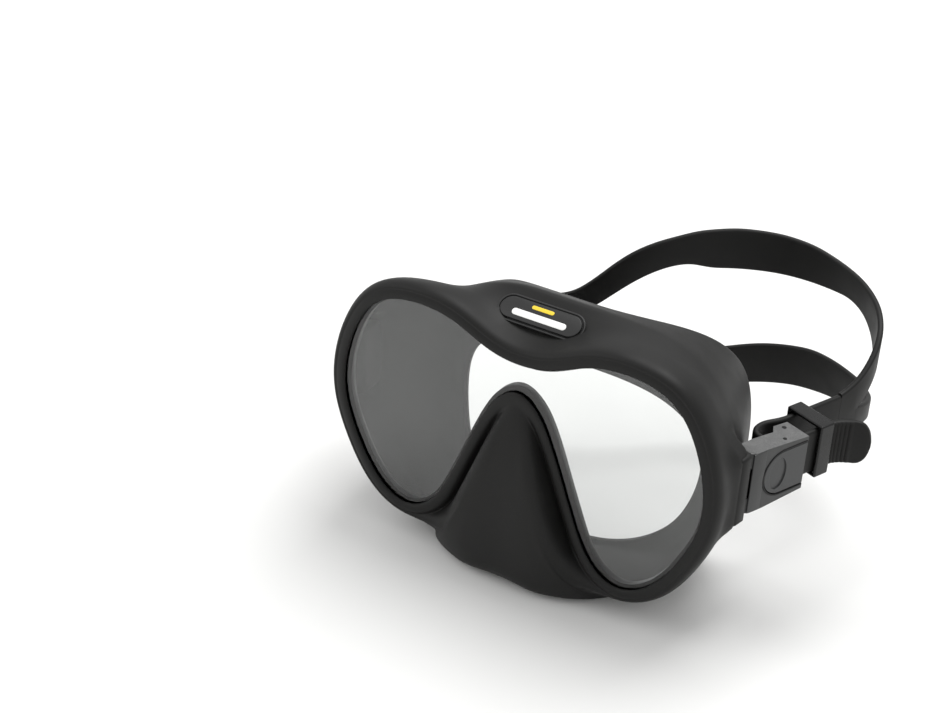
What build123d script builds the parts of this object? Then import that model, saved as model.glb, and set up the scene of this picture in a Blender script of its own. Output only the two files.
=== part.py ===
from build123d import *
import os
from math import cos, hypot, radians, sin

# Frameless single-lens diving mask, millimetres, +Z up.
# X runs to the wearer's left, Y runs back towards the face, the lens front is the plane y = 0,
# and the nose pocket's flat sole stands on z = 0 with its centre at the origin.

# ---- overall sizes ----
LENS_Z = 66.0            # height of the lens centre over the sole
LENS_WIDTH = 150.0       # clear opening, left to right
LENS_HEIGHT = 88.5       # clear opening, lobe bottom to lobe top
SKIRT_DEPTH = 70.0       # lens front to the temple edge of the seal
DRAWN_WIDTH = 150.0      # the outlines below are drawn for these three and scaled to the sizes above
DRAWN_HEIGHT = 88.5
DRAWN_DEPTH = 70.0
BEYOND = 20.0            # how far cutting solids run past the mask

# ---- lens and rim ----
LENS_THICKNESS = 4.0
LENS_OVERLAP = 2.8       # how far the lens reaches under the rim lip
SEAT_CLEARANCE = 0.2
RIM_WIDTH = 6.5
RIM_LIP = 1.8            # rim in front of the glass
FRAME_THICKNESS = 2.5    # stiff ring behind the glass
FRAME_INSET = 1.0        # how far the ring shows inside the opening
RIM_BACK = 8.6           # rear face of the rim band

# ---- skirt ----
WALL = 2.4
FACE_Y = 36.0            # brow edge of the seal
FACE_RADIUS = 82.0       # curve of the seal around the face
NOSE_WALL = 2.2
EAR_INNER_X = 70.0
EAR_OUTER_X = 83.5
EAR_FRONT_Y = 7.0
EAR_SLOPE = 5.0
EAR_HALF = 13.0
ANCHOR_INNER_X = 76.5
ANCHOR_OUTER_X = 82.2
ANCHOR_MIDDLE_X = (ANCHOR_INNER_X + ANCHOR_OUTER_X) / 2
ANCHOR_FRONT_Y = 15.5
NECK_HALF = 1.8
ANCHOR_HALF = 8.0
ANCHOR_REAR_Y = 19.0

# ---- badge on the brow ----
BADGE_LENGTH = 35.0
BADGE_WIDTH = 11.0
BADGE_PROUD = 0.8        # above the brow
BADGE_SUNK = 0.7         # below it, in its recess
BADGE_Y = 13.0
BADGE_RISE = 40.6        # over the lens centre
BADGE_SLOPE = 36.0       # degrees up from level
BADGE_GAP = 0.25

# ---- buckle, in its own frame: u to the rear, v outwards, w up ----
HINGE_X = 80.4
HINGE_Y = 24.0
HINGE_Z = LENS_Z - 2.0
BUCKLE_LENGTH = 24.5     # hinge axis to the rear end
BUCKLE_HALF_THICK = 4.0
BUCKLE_FRONT_HALF = 12.5
BUCKLE_REAR_HALF = 11.0
FLARE = {1: 22.0, -1: 4.0}   # outward swing of each buckle as it lies; 1 is the wearer's left
HINGE_PIN_R = 1.4
HINGE_RUN = 0.05         # radial running clearance on every pin
KNUCKLE_R = 3.2
KNUCKLE_HALF = 6.0
SWIVEL_GAP = 0.5
PIN_INSET = 0.8          # pin ends below the plate faces
END_PLAY = 0.3           # along each pin
PLATE_INNER_HALF = 9.5   # inside of the top and bottom plates
TAPER_START = 5.0
ROOM_FRONT_U = 5.0
REAR_STEP = 3.0          # plates widen inwards at the roller
STEP_START_U = 14.5      # where they start to widen
STEP_END_U = 17.5
CROSS_PIN_HALF = 10.6
OUTER_PLATE = 1.5
LEVER_FRONT = 4.5
LEVER_HALF = 8.6
LEVER_GAP = 0.35
LEVER_ROOM = 1.0         # depth behind the lever plate
LEVER_PIVOT_U = 15.0
LEVER_PIVOT_V = 1.3
LEVER_PIN_R = 0.8
LEVER_HUB_R = 1.6
LEVER_HUB_INNER = 4.6
DIMPLE_U = 11.0
DIMPLE_HALF_LENGTH = 4.0
DIMPLE_HALF_HEIGHT = 6.5
DIMPLE_DEPTH = 0.5
TOOTH_U = 22.5
TOOTH_FRONT = 1.2        # tooth's slope ahead of its crest
TOOTH_REAR = 0.4
TOOTH_HEIGHT = 0.6
SPRING_R = 1.15
SPRING_HALF = 4.2
SPRING_LEG = 6.5
SPRING_WIRE = 0.7
SPRING_LEG_GAP = 0.2     # leg's end to the pin's side
ROLLER_U = 20.5
ROLLER_V = -4.6
ROLLER_R = 1.8
ROLLER_PIN_R = 0.9

# ---- strap ----
STRAP_THICK = 2.4
STRAP_HALF = 9.0
STRAP_CUT_R = {1: 58.0, -1: 40.0}   # where each arm meets the back band, from its hinge
STRAP_CUT_GAP = 0.3
KEEPER_U = {1: 36.0, -1: 32.5}
KEEPER_LENGTH = 7.0
KEEPER_WALL = 1.5
KEEPER_GAP = 0.4
KEEPER_V = {1: (-13.5, 1.1), -1: (-11.1, 1.2)}   # inner and outer faces of the keeper's window
# strap arms in the buckle's frame (u, v), from the back band forward and back to the tail tip:
# the left one lies in a loose bow in front of its roller, the right one is drawn snug round it
ARM_ROUTE = {
    1: [(64, -12.0), (56, -12.0), (48, -12.0), (42, -12.0), (36, -12.0), (30, -12.0), (26, -12.5),
        (21.5, -13.6), (16.6, -13.2), (13.2, -10.4), (13.2, -6.4), (16.0, -2.9), (20, -1.1), (25, -0.4),
        (30, -0.4), (36, -0.4), (42, -0.3), (46, 1.3), (50, 4.7), (53, 9.0)],
    -1: [(46, -9.6), (40, -9.6), (34, -9.6), (28, -9.4), (23, -8.9), (19, -8.0), (17, -5.2),
         (18.2, -2.3), (21.5, -1.0), (26, -0.4), (31, -0.4), (39, -0.4)],
}
# back band in plan, from the left arm round to the right arm
BAND_START = {1: (50.0, -12.0), -1: (36.0, -9.6)}
BAND_ROUTE = [(91, 88), (93.6, 99), (91.5, 112), (84, 124), (71, 134), (54, 140), (37, 139.5), (21, 133),
              (7, 122.5), (-7, 110.5), (-21, 101), (-36, 95.5), (-51, 91.5), (-64, 85), (-71.5, 76.5)]
BAND_HEIGHT = 45.0       # more than the bands reach over or under the hinge middle
BAND_REACH = 130.0       # more than the band reaches to either side
BAND_TURN_X = (54.0, -68.0)   # where the band stops running rearwards, and where it runs forwards again
# outlines of the forked band, height over the hinge middle: seen from the left side (y, height),
# from behind (x, height) and from the right side (y, height)
BAND_LEFT = [(50, -9), (84, -9), (100, -10.5), (112, -14), (122, -19.5), (132, -24.5), (138, -27.5),
             (150, -29.3), (150, -11.2), (139, -10), (130, -8.5), (118, -5.5), (106, -1.5), (103, 0),
             (106, 2), (114, 7.5), (121, 13), (127, 19.5), (133, 21), (138, 19.8), (150, 19.2), (150, 35),
             (138, 33.5), (130, 30.5), (120, 27), (112, 24), (105, 19.5), (98, 13.5), (90, 9.8),
             (84, 9), (50, 9)]
BAND_REAR = [(54, -29.3), (44, -31.4), (30, -34.8), (15, -36.5), (0, -35), (-15, -29.5), (-30, -22.5),
             (-46, -17.5), (-62, -15.2), (-68, -15), (-68, 2.5), (-60, 3), (-46, 3.2), (-37, 4), (-30, 7),
             (-23, 14), (-16, 22), (-9.6, 27.5), (-3, 31), (9, 35), (22, 36.3), (40, 36), (54, 35),
             (54, 19.2), (30, 18.5), (14, 18.3), (8, 20.6), (2.7, 20), (-3, 17.8), (-9.6, 13.4), (-16, 7.4),
             (-23, 0.5), (-29, -4), (-32, -6), (-29, -8), (-15, -14.5), (0, -18.5), (14, -19.6), (22, -18.7),
             (37, -14.6), (54, -11.2)]
BAND_RIGHT = [(50, -9), (62, -9), (70, -12), (77, -14.5), (84, -15), (100, -15), (100, 2.5), (84, 2.5),
              (77, 2.8), (70, 5.6), (62, 9), (50, 9)]

os.makedirs("parts", exist_ok=True)
WX = LENS_WIDTH / DRAWN_WIDTH
WZ = LENS_HEIGHT / DRAWN_HEIGHT
WY = SKIRT_DEPTH / DRAWN_DEPTH

# right half of the clear opening, from the brow dip round the lobe to the nose notch
OPENING = [
    (0.0, 27.0), (14.0, 29.5), (28.0, 36.0), (45.0, 38.0), (60.0, 33.5), (69.5, 20.0),
    (74.5, 2.0), (74.0, -13.0), (68.0, -29.0), (58.0, -44.5), (46.0, -50.5), (36.0, -45.5),
    (28.0, -32.0), (20.0, -12.0), (13.0, 4.5), (6.5, 13.5), (0.0, 16.5),
]
# outer wall of the skirt at four depths, right half, top centre to bottom centre
WALL_SECTIONS = [
    (6.0, [(0, 34), (16, 36), (32, 43), (50, 44), (66, 35.5), (78, 18), (81.5, -3),
           (78, -24), (65, -46), (46, -57), (20, -57), (0, -57)]),
    (24.0, [(0, 45), (18, 45), (36, 44.5), (52, 41), (65, 31), (74, 14), (76.5, -5),
            (73.5, -27), (65, -50), (52, -66), (22, -68), (0, -68)]),
    (42.0, [(0, 36), (17, 36), (34, 35), (48, 30), (60, 20), (69, 6), (71.5, -10),
            (69, -30), (62, -50), (50, -66), (22, -68), (0, -68)]),
    (70.0, [(0, 22), (14, 22), (28, 21), (40, 18), (51, 11), (59, 0), (62.5, -12),
            (61, -30), (55, -48), (46, -62), (20, -66), (0, -66)]),
]
# opening for the face, right half
FACE_OPENING = [(0, 14), (22, 12), (40, 3), (50.5, -14), (51, -34), (43, -52), (28, -60), (0, -61)]
# nose pocket: height over the lens centre, front half width, front y, rear half width
NOSE_SECTIONS = [
    (11.0, 2.5, -1.0, 5.5), (-10.0, 6.0, -6.5, 13.0), (-35.0, 12.5, -10.0, 24.0),
    (-55.0, 18.5, -8.0, 31.0), (-66.0, 21.0, -5.0, 32.0),
]
NOSE_FLOOR = (-63.8, 20.5, -5.4, 32.0)   # inside of the sole
NOSE_SHOULDER_Y = 5.0
NOSE_REAR_Y = 14.0
FACE_CUT_Y = 14.0


def closed(half):
    """Full outline from its right half, which starts and ends on the mid-plane."""
    left = [(-x, z) for x, z in half[-2:0:-1]]
    return list(half) + left


def grown(points, amount):
    """Points of a clockwise outline moved outwards along its normals."""
    moved = []
    count = len(points)
    for i in range(count):
        ax, az = points[i - 1]
        bx, bz = points[(i + 1) % count]
        length = hypot(bx - ax, bz - az)
        x, z = points[i]
        moved.append((x - (bz - az) / length * amount, z + (bx - ax) / length * amount))
    return moved


def opening(amount):
    """Lens opening outline grown by amount, as (x, z) about the lens centre."""
    return grown([(x * WX, z * WZ) for x, z in closed(OPENING)], amount)


def front_plane(y):
    """Upright plane facing the wearer, sketch x to +X and sketch y to +Z, through the lens centre."""
    return Plane(origin=(0, y, LENS_Z), x_dir=(1, 0, 0), z_dir=(0, -1, 0))


def badge_plane(height):
    """Plane of the brow badge, height above the brow's surface."""
    slope = radians(BADGE_SLOPE)
    normal = (0, -sin(slope), cos(slope))
    return Plane(
        origin=(0, BADGE_Y + height * normal[1], LENS_Z + BADGE_RISE + height * normal[2]),
        x_dir=(1, 0, 0),
        z_dir=normal,
    )


def save(part, label):
    part.label = label
    export_step(part, f"parts/{label}.step")


def wall_section(half, shrink):
    return grown([(x * WX, z) for x, z in closed(half)], -shrink)


def side_name(side):
    return "left" if side > 0 else "right"


def flare(side):
    return radians(FLARE[side])


def buckle_plane(side, w=0.0):
    """Level plane at height w over the buckle's middle: x to its rear, origin on the hinge axis."""
    return Plane(
        origin=(side * HINGE_X, HINGE_Y, HINGE_Z + w),
        x_dir=(side * sin(flare(side)), cos(flare(side)), 0),
        z_dir=(0, 0, 1),
    )


def turned(side, points):
    """Buckle points (u, v), v outwards, as sketch points of that side's plane."""
    return [(u, -side * v) for u, v in points]


def face_plane(side, v):
    """Upright plane along the buckle at v outwards: x to the rear, normal outwards."""
    x, y = world(side, 0, v)
    c, s = cos(flare(side)), sin(flare(side))
    return Plane(origin=(x, y, HINGE_Z), x_dir=(side * s, c, 0), z_dir=(side * c, -s, 0))


def world(side, u, v):
    """A buckle point (u, v) as (x, y) in the mask's own frame."""
    c, s = cos(flare(side)), sin(flare(side))
    return side * (HINGE_X + u * s + v * c), HINGE_Y + u * c - v * s


# ================= cavity behind the lens =================
with BuildPart() as cavity:
    for y, half in WALL_SECTIONS:
        front_wall = WALL if half is WALL_SECTIONS[0][1] else 0
        with BuildSketch(front_plane(y * WY + front_wall)):
            with BuildLine():
                Spline(*wall_section(half, WALL), periodic=True)
            make_face()
    loft()
    with BuildSketch(Plane.XY):
        with Locations((0, FACE_Y + FACE_RADIUS)):
            Circle(FACE_RADIUS + WALL)
    extrude(amount=2 * LENS_Z + BEYOND, mode=Mode.SUBTRACT)

# ================= skirt =================
with BuildPart() as skirt:
    # outer wall
    for y, half in WALL_SECTIONS:
        with BuildSketch(front_plane(y * WY)):
            with BuildLine():
                Spline(*wall_section(half, 0), periodic=True)
            make_face()
    loft()
    # rim round the lens
    with BuildSketch(front_plane(-RIM_LIP)):
        with BuildLine():
            Spline(*opening(RIM_WIDTH), periodic=True)
        make_face()
    extrude(amount=-(RIM_LIP + RIM_BACK))
    # nose pocket
    for rise, front_half, front_y, rear_half in NOSE_SECTIONS:
        with BuildSketch(Plane.XY.offset(LENS_Z + rise)):
            with BuildLine():
                Polyline((-rear_half, NOSE_REAR_Y), (-rear_half, NOSE_SHOULDER_Y), (-front_half, front_y),
                         (front_half, front_y), (rear_half, NOSE_SHOULDER_Y), (rear_half, NOSE_REAR_Y),
                         close=True)
            make_face()
    loft(ruled=True)
    # ears that carry the buckles
    for side in (1, -1):
        with BuildSketch(Plane.XY.offset(HINGE_Z - EAR_HALF)):
            with BuildLine():
                Polyline((side * EAR_INNER_X, EAR_FRONT_Y), (side * (EAR_OUTER_X - EAR_SLOPE), EAR_FRONT_Y),
                         (side * EAR_OUTER_X, EAR_FRONT_Y + 2 * EAR_SLOPE), (side * EAR_OUTER_X, HINGE_Y),
                         (side * EAR_INNER_X, HINGE_Y), close=True)
            make_face()
        extrude(amount=2 * EAR_HALF)
    # hollow inside, with the seal flap left standing round the face
    add(cavity, mode=Mode.SUBTRACT)
    # nose room
    for rise, front_half, front_y, rear_half in NOSE_SECTIONS[1:-1] + [NOSE_FLOOR]:
        with BuildSketch(Plane.XY.offset(LENS_Z + rise)):
            with BuildLine():
                a, b = front_half - NOSE_WALL / 2, rear_half - NOSE_WALL
                Polyline((-b, NOSE_REAR_Y), (-b, NOSE_SHOULDER_Y + NOSE_WALL), (-a, front_y + NOSE_WALL),
                         (a, front_y + NOSE_WALL), (b, NOSE_SHOULDER_Y + NOSE_WALL), (b, NOSE_REAR_Y),
                         close=True)
            make_face()
    loft(ruled=True, mode=Mode.SUBTRACT)
    # lens seat, sight opening and face opening
    with BuildSketch(front_plane(0)):
        with BuildLine():
            Spline(*opening(LENS_OVERLAP + SEAT_CLEARANCE), periodic=True)
        make_face()
    extrude(amount=-(LENS_THICKNESS + FRAME_THICKNESS + SEAT_CLEARANCE), mode=Mode.SUBTRACT)
    with BuildSketch(front_plane(-RIM_LIP)):
        with BuildLine():
            Spline(*opening(0), periodic=True)
        make_face()
    extrude(amount=-(RIM_LIP + RIM_BACK + WALL), mode=Mode.SUBTRACT)
    with BuildSketch(front_plane(FACE_CUT_Y)):
        with BuildLine():
            Spline(*closed(FACE_OPENING), periodic=True)
        make_face()
    extrude(amount=-SKIRT_DEPTH, mode=Mode.SUBTRACT)
    # the face side
    with BuildSketch(Plane.XY.offset(-BEYOND / 2)):
        with Locations((0, FACE_Y + FACE_RADIUS)):
            Circle(FACE_RADIUS)
    extrude(amount=2 * LENS_Z + BEYOND, mode=Mode.SUBTRACT)
    # anchor pockets and swing room at the hinges
    for side in (1, -1):
        with BuildSketch(Plane.XY.offset(HINGE_Z - ANCHOR_HALF)):
            with Locations((side * ANCHOR_MIDDLE_X, (ANCHOR_FRONT_Y + HINGE_Y) / 2)):
                Rectangle(ANCHOR_OUTER_X - ANCHOR_INNER_X, HINGE_Y - ANCHOR_FRONT_Y)
        extrude(amount=2 * ANCHOR_HALF, mode=Mode.SUBTRACT)
        with BuildSketch(Plane.XY):
            with Locations((side * HINGE_X, HINGE_Y)):
                Circle(BUCKLE_HALF_THICK + SWIVEL_GAP)
        extrude(amount=2 * LENS_Z, mode=Mode.SUBTRACT)
    # recess for the badge
    with BuildSketch(badge_plane(-BADGE_SUNK)):
        SlotOverall(BADGE_LENGTH + 2 * BADGE_GAP, BADGE_WIDTH + 2 * BADGE_GAP)
    extrude(amount=BADGE_SUNK + BADGE_WIDTH, mode=Mode.SUBTRACT)
    # flat underside
    split(bisect_by=Plane.XY, keep=Keep.TOP)
save(skirt.part, "skirt")

# ================= lens =================
with BuildPart() as lens:
    with BuildSketch(front_plane(0)):
        with BuildLine():
            Spline(*opening(LENS_OVERLAP), periodic=True)
        make_face()
    extrude(amount=-LENS_THICKNESS)
save(lens.part, "lens")

# ================= stiff ring behind the lens =================
with BuildPart() as lens_frame:
    with BuildSketch(front_plane(LENS_THICKNESS)):
        with BuildLine():
            Spline(*opening(LENS_OVERLAP), periodic=True)
        make_face()
        with BuildLine():
            Spline(*opening(-FRAME_INSET), periodic=True)
        make_face(mode=Mode.SUBTRACT)
    extrude(amount=-FRAME_THICKNESS)
save(lens_frame.part, "lens_frame")

# ================= brow badge =================
with BuildPart() as badge:
    with BuildSketch(badge_plane(-BADGE_SUNK)):
        SlotOverall(BADGE_LENGTH, BADGE_WIDTH)
    extrude(amount=BADGE_SUNK + BADGE_PROUD)
save(badge.part, "brow_badge")

# ================= buckles, one on each side =================
for side in (1, -1):
    name = side_name(side)

    # ---- anchor moulded into the ear ----
    with BuildPart() as anchor:
        with BuildSketch(Plane.XY.offset(HINGE_Z - KNUCKLE_HALF)):
            with Locations((side * HINGE_X, HINGE_Y)):
                Circle(KNUCKLE_R)
            with Locations((side * HINGE_X, (ANCHOR_FRONT_Y + HINGE_Y) / 2)):
                Rectangle(2 * NECK_HALF, HINGE_Y - ANCHOR_FRONT_Y)
        extrude(amount=2 * KNUCKLE_HALF)
        with BuildSketch(Plane.XY.offset(HINGE_Z - ANCHOR_HALF)):
            with Locations((side * ANCHOR_MIDDLE_X, (ANCHOR_FRONT_Y + ANCHOR_REAR_Y) / 2)):
                Rectangle(ANCHOR_OUTER_X - ANCHOR_INNER_X, ANCHOR_REAR_Y - ANCHOR_FRONT_Y)
        extrude(amount=2 * ANCHOR_HALF)
        with BuildSketch(Plane.XY):
            with Locations((side * HINGE_X, HINGE_Y)):
                Circle(HINGE_PIN_R)
        extrude(amount=2 * LENS_Z, mode=Mode.SUBTRACT)
    save(anchor.part, f"ear_anchor_{name}")

    # ---- hinge pin, a press fit in the anchor ----
    with BuildPart() as hinge_pin:
        with BuildSketch(buckle_plane(side, -BUCKLE_FRONT_HALF + PIN_INSET)):
            Circle(HINGE_PIN_R)
        extrude(amount=2 * (BUCKLE_FRONT_HALF - PIN_INSET))
    save(hinge_pin.part, f"hinge_pin_{name}")

    # ---- housing: top and bottom plates, outer plate with the lever window ----
    with BuildPart() as housing:
        with BuildSketch(buckle_plane(side, -BUCKLE_FRONT_HALF)):
            Circle(BUCKLE_HALF_THICK)
            with BuildLine():
                Polyline(*turned(side, [(0, BUCKLE_HALF_THICK), (BUCKLE_LENGTH, BUCKLE_HALF_THICK),
                                        (BUCKLE_LENGTH, -BUCKLE_HALF_THICK - REAR_STEP),
                                        (STEP_END_U, -BUCKLE_HALF_THICK - REAR_STEP),
                                        (STEP_START_U, -BUCKLE_HALF_THICK), (0, -BUCKLE_HALF_THICK)]),
                         close=True)
            make_face()
        extrude(amount=2 * BUCKLE_FRONT_HALF)
        # top and bottom draw in towards the rear
        with BuildSketch(face_plane(side, 0)):
            for sign in (1, -1):
                with BuildLine():
                    Polyline((TAPER_START, sign * BUCKLE_FRONT_HALF),
                             (BUCKLE_LENGTH + 1, sign * BUCKLE_REAR_HALF),
                             (BUCKLE_LENGTH + 1, sign * (BUCKLE_FRONT_HALF + 1)),
                             (TAPER_START, sign * (BUCKLE_FRONT_HALF + 1)), close=True)
                make_face()
        extrude(amount=3 * BUCKLE_HALF_THICK, both=True, mode=Mode.SUBTRACT)
        # room for the strap and the roller
        with BuildSketch(buckle_plane(side, -PLATE_INNER_HALF)):
            with BuildLine():
                Polyline(*turned(side, [(ROOM_FRONT_U, BUCKLE_HALF_THICK - OUTER_PLATE),
                                        (BUCKLE_LENGTH + 1, BUCKLE_HALF_THICK - OUTER_PLATE),
                                        (BUCKLE_LENGTH + 1, -BUCKLE_HALF_THICK - REAR_STEP - 1),
                                        (ROOM_FRONT_U, -BUCKLE_HALF_THICK - REAR_STEP - 1)]), close=True)
            make_face()
        extrude(amount=2 * PLATE_INNER_HALF, mode=Mode.SUBTRACT)
        # lever window, round at the front and open at the rear
        with BuildSketch(face_plane(side, BUCKLE_HALF_THICK + 1)):
            with Locations((LEVER_FRONT + LEVER_HALF, 0)):
                Circle(LEVER_HALF + LEVER_GAP)
            with Locations((LEVER_FRONT + LEVER_HALF + BUCKLE_LENGTH / 2, 0)):
                Rectangle(BUCKLE_LENGTH, 2 * (LEVER_HALF + LEVER_GAP))
        extrude(amount=-(OUTER_PLATE + 1 + LEVER_ROOM), mode=Mode.SUBTRACT)
        # knuckle slot, open to the front
        with BuildSketch(buckle_plane(side, -KNUCKLE_HALF - END_PLAY)):
            Circle(KNUCKLE_R + SWIVEL_GAP)
            with Locations((-BUCKLE_HALF_THICK / 2 - 1, 0)):
                Rectangle(BUCKLE_HALF_THICK + 2, 2 * BUCKLE_HALF_THICK + 2)
        extrude(amount=2 * (KNUCKLE_HALF + END_PLAY), mode=Mode.SUBTRACT)
        # pin holes
        with BuildSketch(buckle_plane(side, -BUCKLE_FRONT_HALF + PIN_INSET)):
            Circle(HINGE_PIN_R + HINGE_RUN)
        extrude(amount=2 * (BUCKLE_FRONT_HALF - PIN_INSET), mode=Mode.SUBTRACT)
        with BuildSketch(buckle_plane(side, -CROSS_PIN_HALF)):
            with Locations(*turned(side, [(LEVER_PIVOT_U, LEVER_PIVOT_V)])):
                Circle(LEVER_PIN_R)
            with Locations(*turned(side, [(ROLLER_U, ROLLER_V)])):
                Circle(ROLLER_PIN_R)
        extrude(amount=2 * CROSS_PIN_HALF, mode=Mode.SUBTRACT)
    save(housing.part, f"buckle_housing_{name}")

    # ---- release lever: D-shaped plate with a finger dimple, two hubs and a rear tooth ----
    with BuildPart() as lever:
        with BuildSketch(face_plane(side, BUCKLE_HALF_THICK)):
            with Locations((LEVER_FRONT + LEVER_HALF, 0)):
                Circle(LEVER_HALF)
            with BuildLine():
                Polyline((LEVER_FRONT + LEVER_HALF, LEVER_HALF), (BUCKLE_LENGTH, LEVER_HALF),
                         (BUCKLE_LENGTH, -LEVER_HALF), (LEVER_FRONT + LEVER_HALF, -LEVER_HALF), close=True)
            make_face()
        extrude(amount=-OUTER_PLATE)
        with BuildSketch(face_plane(side, BUCKLE_HALF_THICK)):
            with Locations((DIMPLE_U, 0)):
                Ellipse(DIMPLE_HALF_LENGTH, DIMPLE_HALF_HEIGHT)
        extrude(amount=-DIMPLE_DEPTH, mode=Mode.SUBTRACT)
        for w in (LEVER_HUB_INNER, -LEVER_HALF + END_PLAY):
            with BuildSketch(buckle_plane(side, w)):
                with Locations(*turned(side, [(LEVER_PIVOT_U, LEVER_PIVOT_V)])):
                    Circle(LEVER_HUB_R)
            extrude(amount=LEVER_HALF - END_PLAY - LEVER_HUB_INNER)
        with BuildSketch(buckle_plane(side, -LEVER_HALF)):
            with Locations(*turned(side, [(LEVER_PIVOT_U, LEVER_PIVOT_V)])):
                Circle(LEVER_PIN_R + HINGE_RUN)
        extrude(amount=2 * LEVER_HALF, mode=Mode.SUBTRACT)
        with BuildSketch(buckle_plane(side, -LEVER_HALF + END_PLAY)):
            with BuildLine():
                Polyline(*turned(side, [(TOOTH_U - TOOTH_FRONT, BUCKLE_HALF_THICK - OUTER_PLATE),
                                        (TOOTH_U, BUCKLE_HALF_THICK - OUTER_PLATE - TOOTH_HEIGHT),
                                        (TOOTH_U + TOOTH_REAR, BUCKLE_HALF_THICK - OUTER_PLATE)]), close=True)
            make_face()
        extrude(amount=2 * (LEVER_HALF - END_PLAY))
    save(lever.part, f"release_lever_{name}")

    # ---- lever pin and roller pin, press fits in the plates ----
    for label, radius, place in (("lever_pin", LEVER_PIN_R, (LEVER_PIVOT_U, LEVER_PIVOT_V)),
                                 ("roller_pin", ROLLER_PIN_R, (ROLLER_U, ROLLER_V))):
        with BuildPart() as cross_pin:
            with BuildSketch(buckle_plane(side, -CROSS_PIN_HALF)):
                with Locations(*turned(side, [place])):
                    Circle(radius)
            extrude(amount=2 * CROSS_PIN_HALF)
        save(cross_pin.part, f"{label}_{name}")

    # ---- strap roller ----
    with BuildPart() as roller:
        with BuildSketch(buckle_plane(side, -PLATE_INNER_HALF + END_PLAY)):
            with Locations(*turned(side, [(ROLLER_U, ROLLER_V)])):
                Circle(ROLLER_R)
                Circle(ROLLER_PIN_R + HINGE_RUN, mode=Mode.SUBTRACT)
        extrude(amount=2 * (PLATE_INNER_HALF - END_PLAY))
    save(roller.part, f"strap_roller_{name}")

    # ---- lever spring: coil round the lever pin with a leg under the plate ----
    with BuildPart() as spring:
        with BuildSketch(buckle_plane(side, -SPRING_HALF)):
            with Locations(*turned(side, [(LEVER_PIVOT_U, LEVER_PIVOT_V)])):
                Circle(SPRING_R)
                Circle(LEVER_PIN_R + HINGE_RUN, mode=Mode.SUBTRACT)
        extrude(amount=2 * SPRING_HALF)
        with BuildSketch(buckle_plane(side, -SPRING_WIRE / 2)):
            with BuildLine():
                top = BUCKLE_HALF_THICK - OUTER_PLATE
                Polyline(*turned(side, [(LEVER_PIVOT_U, top), (LEVER_PIVOT_U - SPRING_LEG, top),
                                        (LEVER_PIVOT_U - SPRING_LEG, top - SPRING_WIRE),
                                        (LEVER_PIVOT_U - LEVER_PIN_R - SPRING_LEG_GAP, top - SPRING_WIRE)]),
                         close=True)
            make_face()
        extrude(amount=SPRING_WIRE)
        with BuildSketch(buckle_plane(side, -SPRING_HALF)):
            with Locations(*turned(side, [(LEVER_PIVOT_U, LEVER_PIVOT_V)])):
                Circle(LEVER_PIN_R + HINGE_RUN)
        extrude(amount=2 * SPRING_HALF, mode=Mode.SUBTRACT)
    save(spring.part, f"lever_spring_{name}")

    # ---- strap arm: from the back band, forward through the keeper, round in front of the roller,
    # out under the lever tooth and back through the keeper to a ribbed tail ----
    with BuildPart() as arm:
        with BuildSketch(buckle_plane(side, -STRAP_HALF)):
            with BuildLine():
                Spline(*turned(side, ARM_ROUTE[side]))
            trace(line_width=STRAP_THICK)
        extrude(amount=2 * STRAP_HALF)
        with BuildSketch(buckle_plane(side, -STRAP_HALF - 1)):
            Circle(2 * STRAP_CUT_R[side])
            Circle(STRAP_CUT_R[side], mode=Mode.SUBTRACT)
        extrude(amount=2 * STRAP_HALF + 2, mode=Mode.SUBTRACT)
    save(arm.part, f"strap_arm_{name}")

    # ---- keeper: a stiff loop round both runs of the strap ----
    inner_v, outer_v = KEEPER_V[side]
    with BuildPart() as keeper:
        with BuildSketch(face_plane(side, outer_v + KEEPER_WALL)):
            with Locations((KEEPER_U[side], 0)):
                Rectangle(KEEPER_LENGTH, 2 * (STRAP_HALF + KEEPER_GAP + KEEPER_WALL))
        extrude(amount=inner_v - outer_v - 2 * KEEPER_WALL)
        with BuildSketch(buckle_plane(side, -STRAP_HALF - KEEPER_GAP)):
            with Locations(*turned(side, [(KEEPER_U[side], (inner_v + outer_v) / 2)])):
                Rectangle(KEEPER_LENGTH + 2, outer_v - inner_v)
        extrude(amount=2 * (STRAP_HALF + KEEPER_GAP), mode=Mode.SUBTRACT)
    save(keeper.part, f"strap_keeper_{name}")

# ================= forked outline of the back band, wider than its plan =================
with BuildPart() as band_outline:
    near, far = BAND_TURN_X
    for start, reach, outline in ((near, BAND_REACH - near, BAND_LEFT), (far, -BAND_REACH - far, BAND_RIGHT)):
        with BuildSketch(Plane.YZ.offset(start)):
            with BuildLine():
                Polyline(*[(y, HINGE_Z + w) for y, w in outline], close=True)
            make_face()
        extrude(amount=reach)
    with BuildSketch(front_plane(HINGE_Y)):
        with BuildLine():
            Polyline(*[(x, HINGE_Z - LENS_Z + w) for x, w in BAND_REAR], close=True)
        make_face()
    extrude(amount=-2 * BAND_REACH)

# ================= back band of the strap, split into two =================
with BuildPart() as strap_back:
    with BuildSketch(Plane.XY.offset(HINGE_Z - BAND_HEIGHT)):
        with BuildLine():
            Spline(world(1, *BAND_START[1]), *BAND_ROUTE, world(-1, *BAND_START[-1]),
                   tangents=[(sin(flare(1)), cos(flare(1))), (sin(flare(-1)), -cos(flare(-1)))])
        trace(line_width=STRAP_THICK)
    extrude(amount=2 * BAND_HEIGHT)
    add(band_outline, mode=Mode.INTERSECT)
    for side in (1, -1):
        with BuildSketch(buckle_plane(side, -BAND_HEIGHT)):
            Circle(STRAP_CUT_R[side] + STRAP_CUT_GAP)
        extrude(amount=2 * BAND_HEIGHT, mode=Mode.SUBTRACT)
save(strap_back.part, "strap_back")
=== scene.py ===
"""Finished look of a single-lens diving mask with a split strap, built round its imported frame."""

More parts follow.
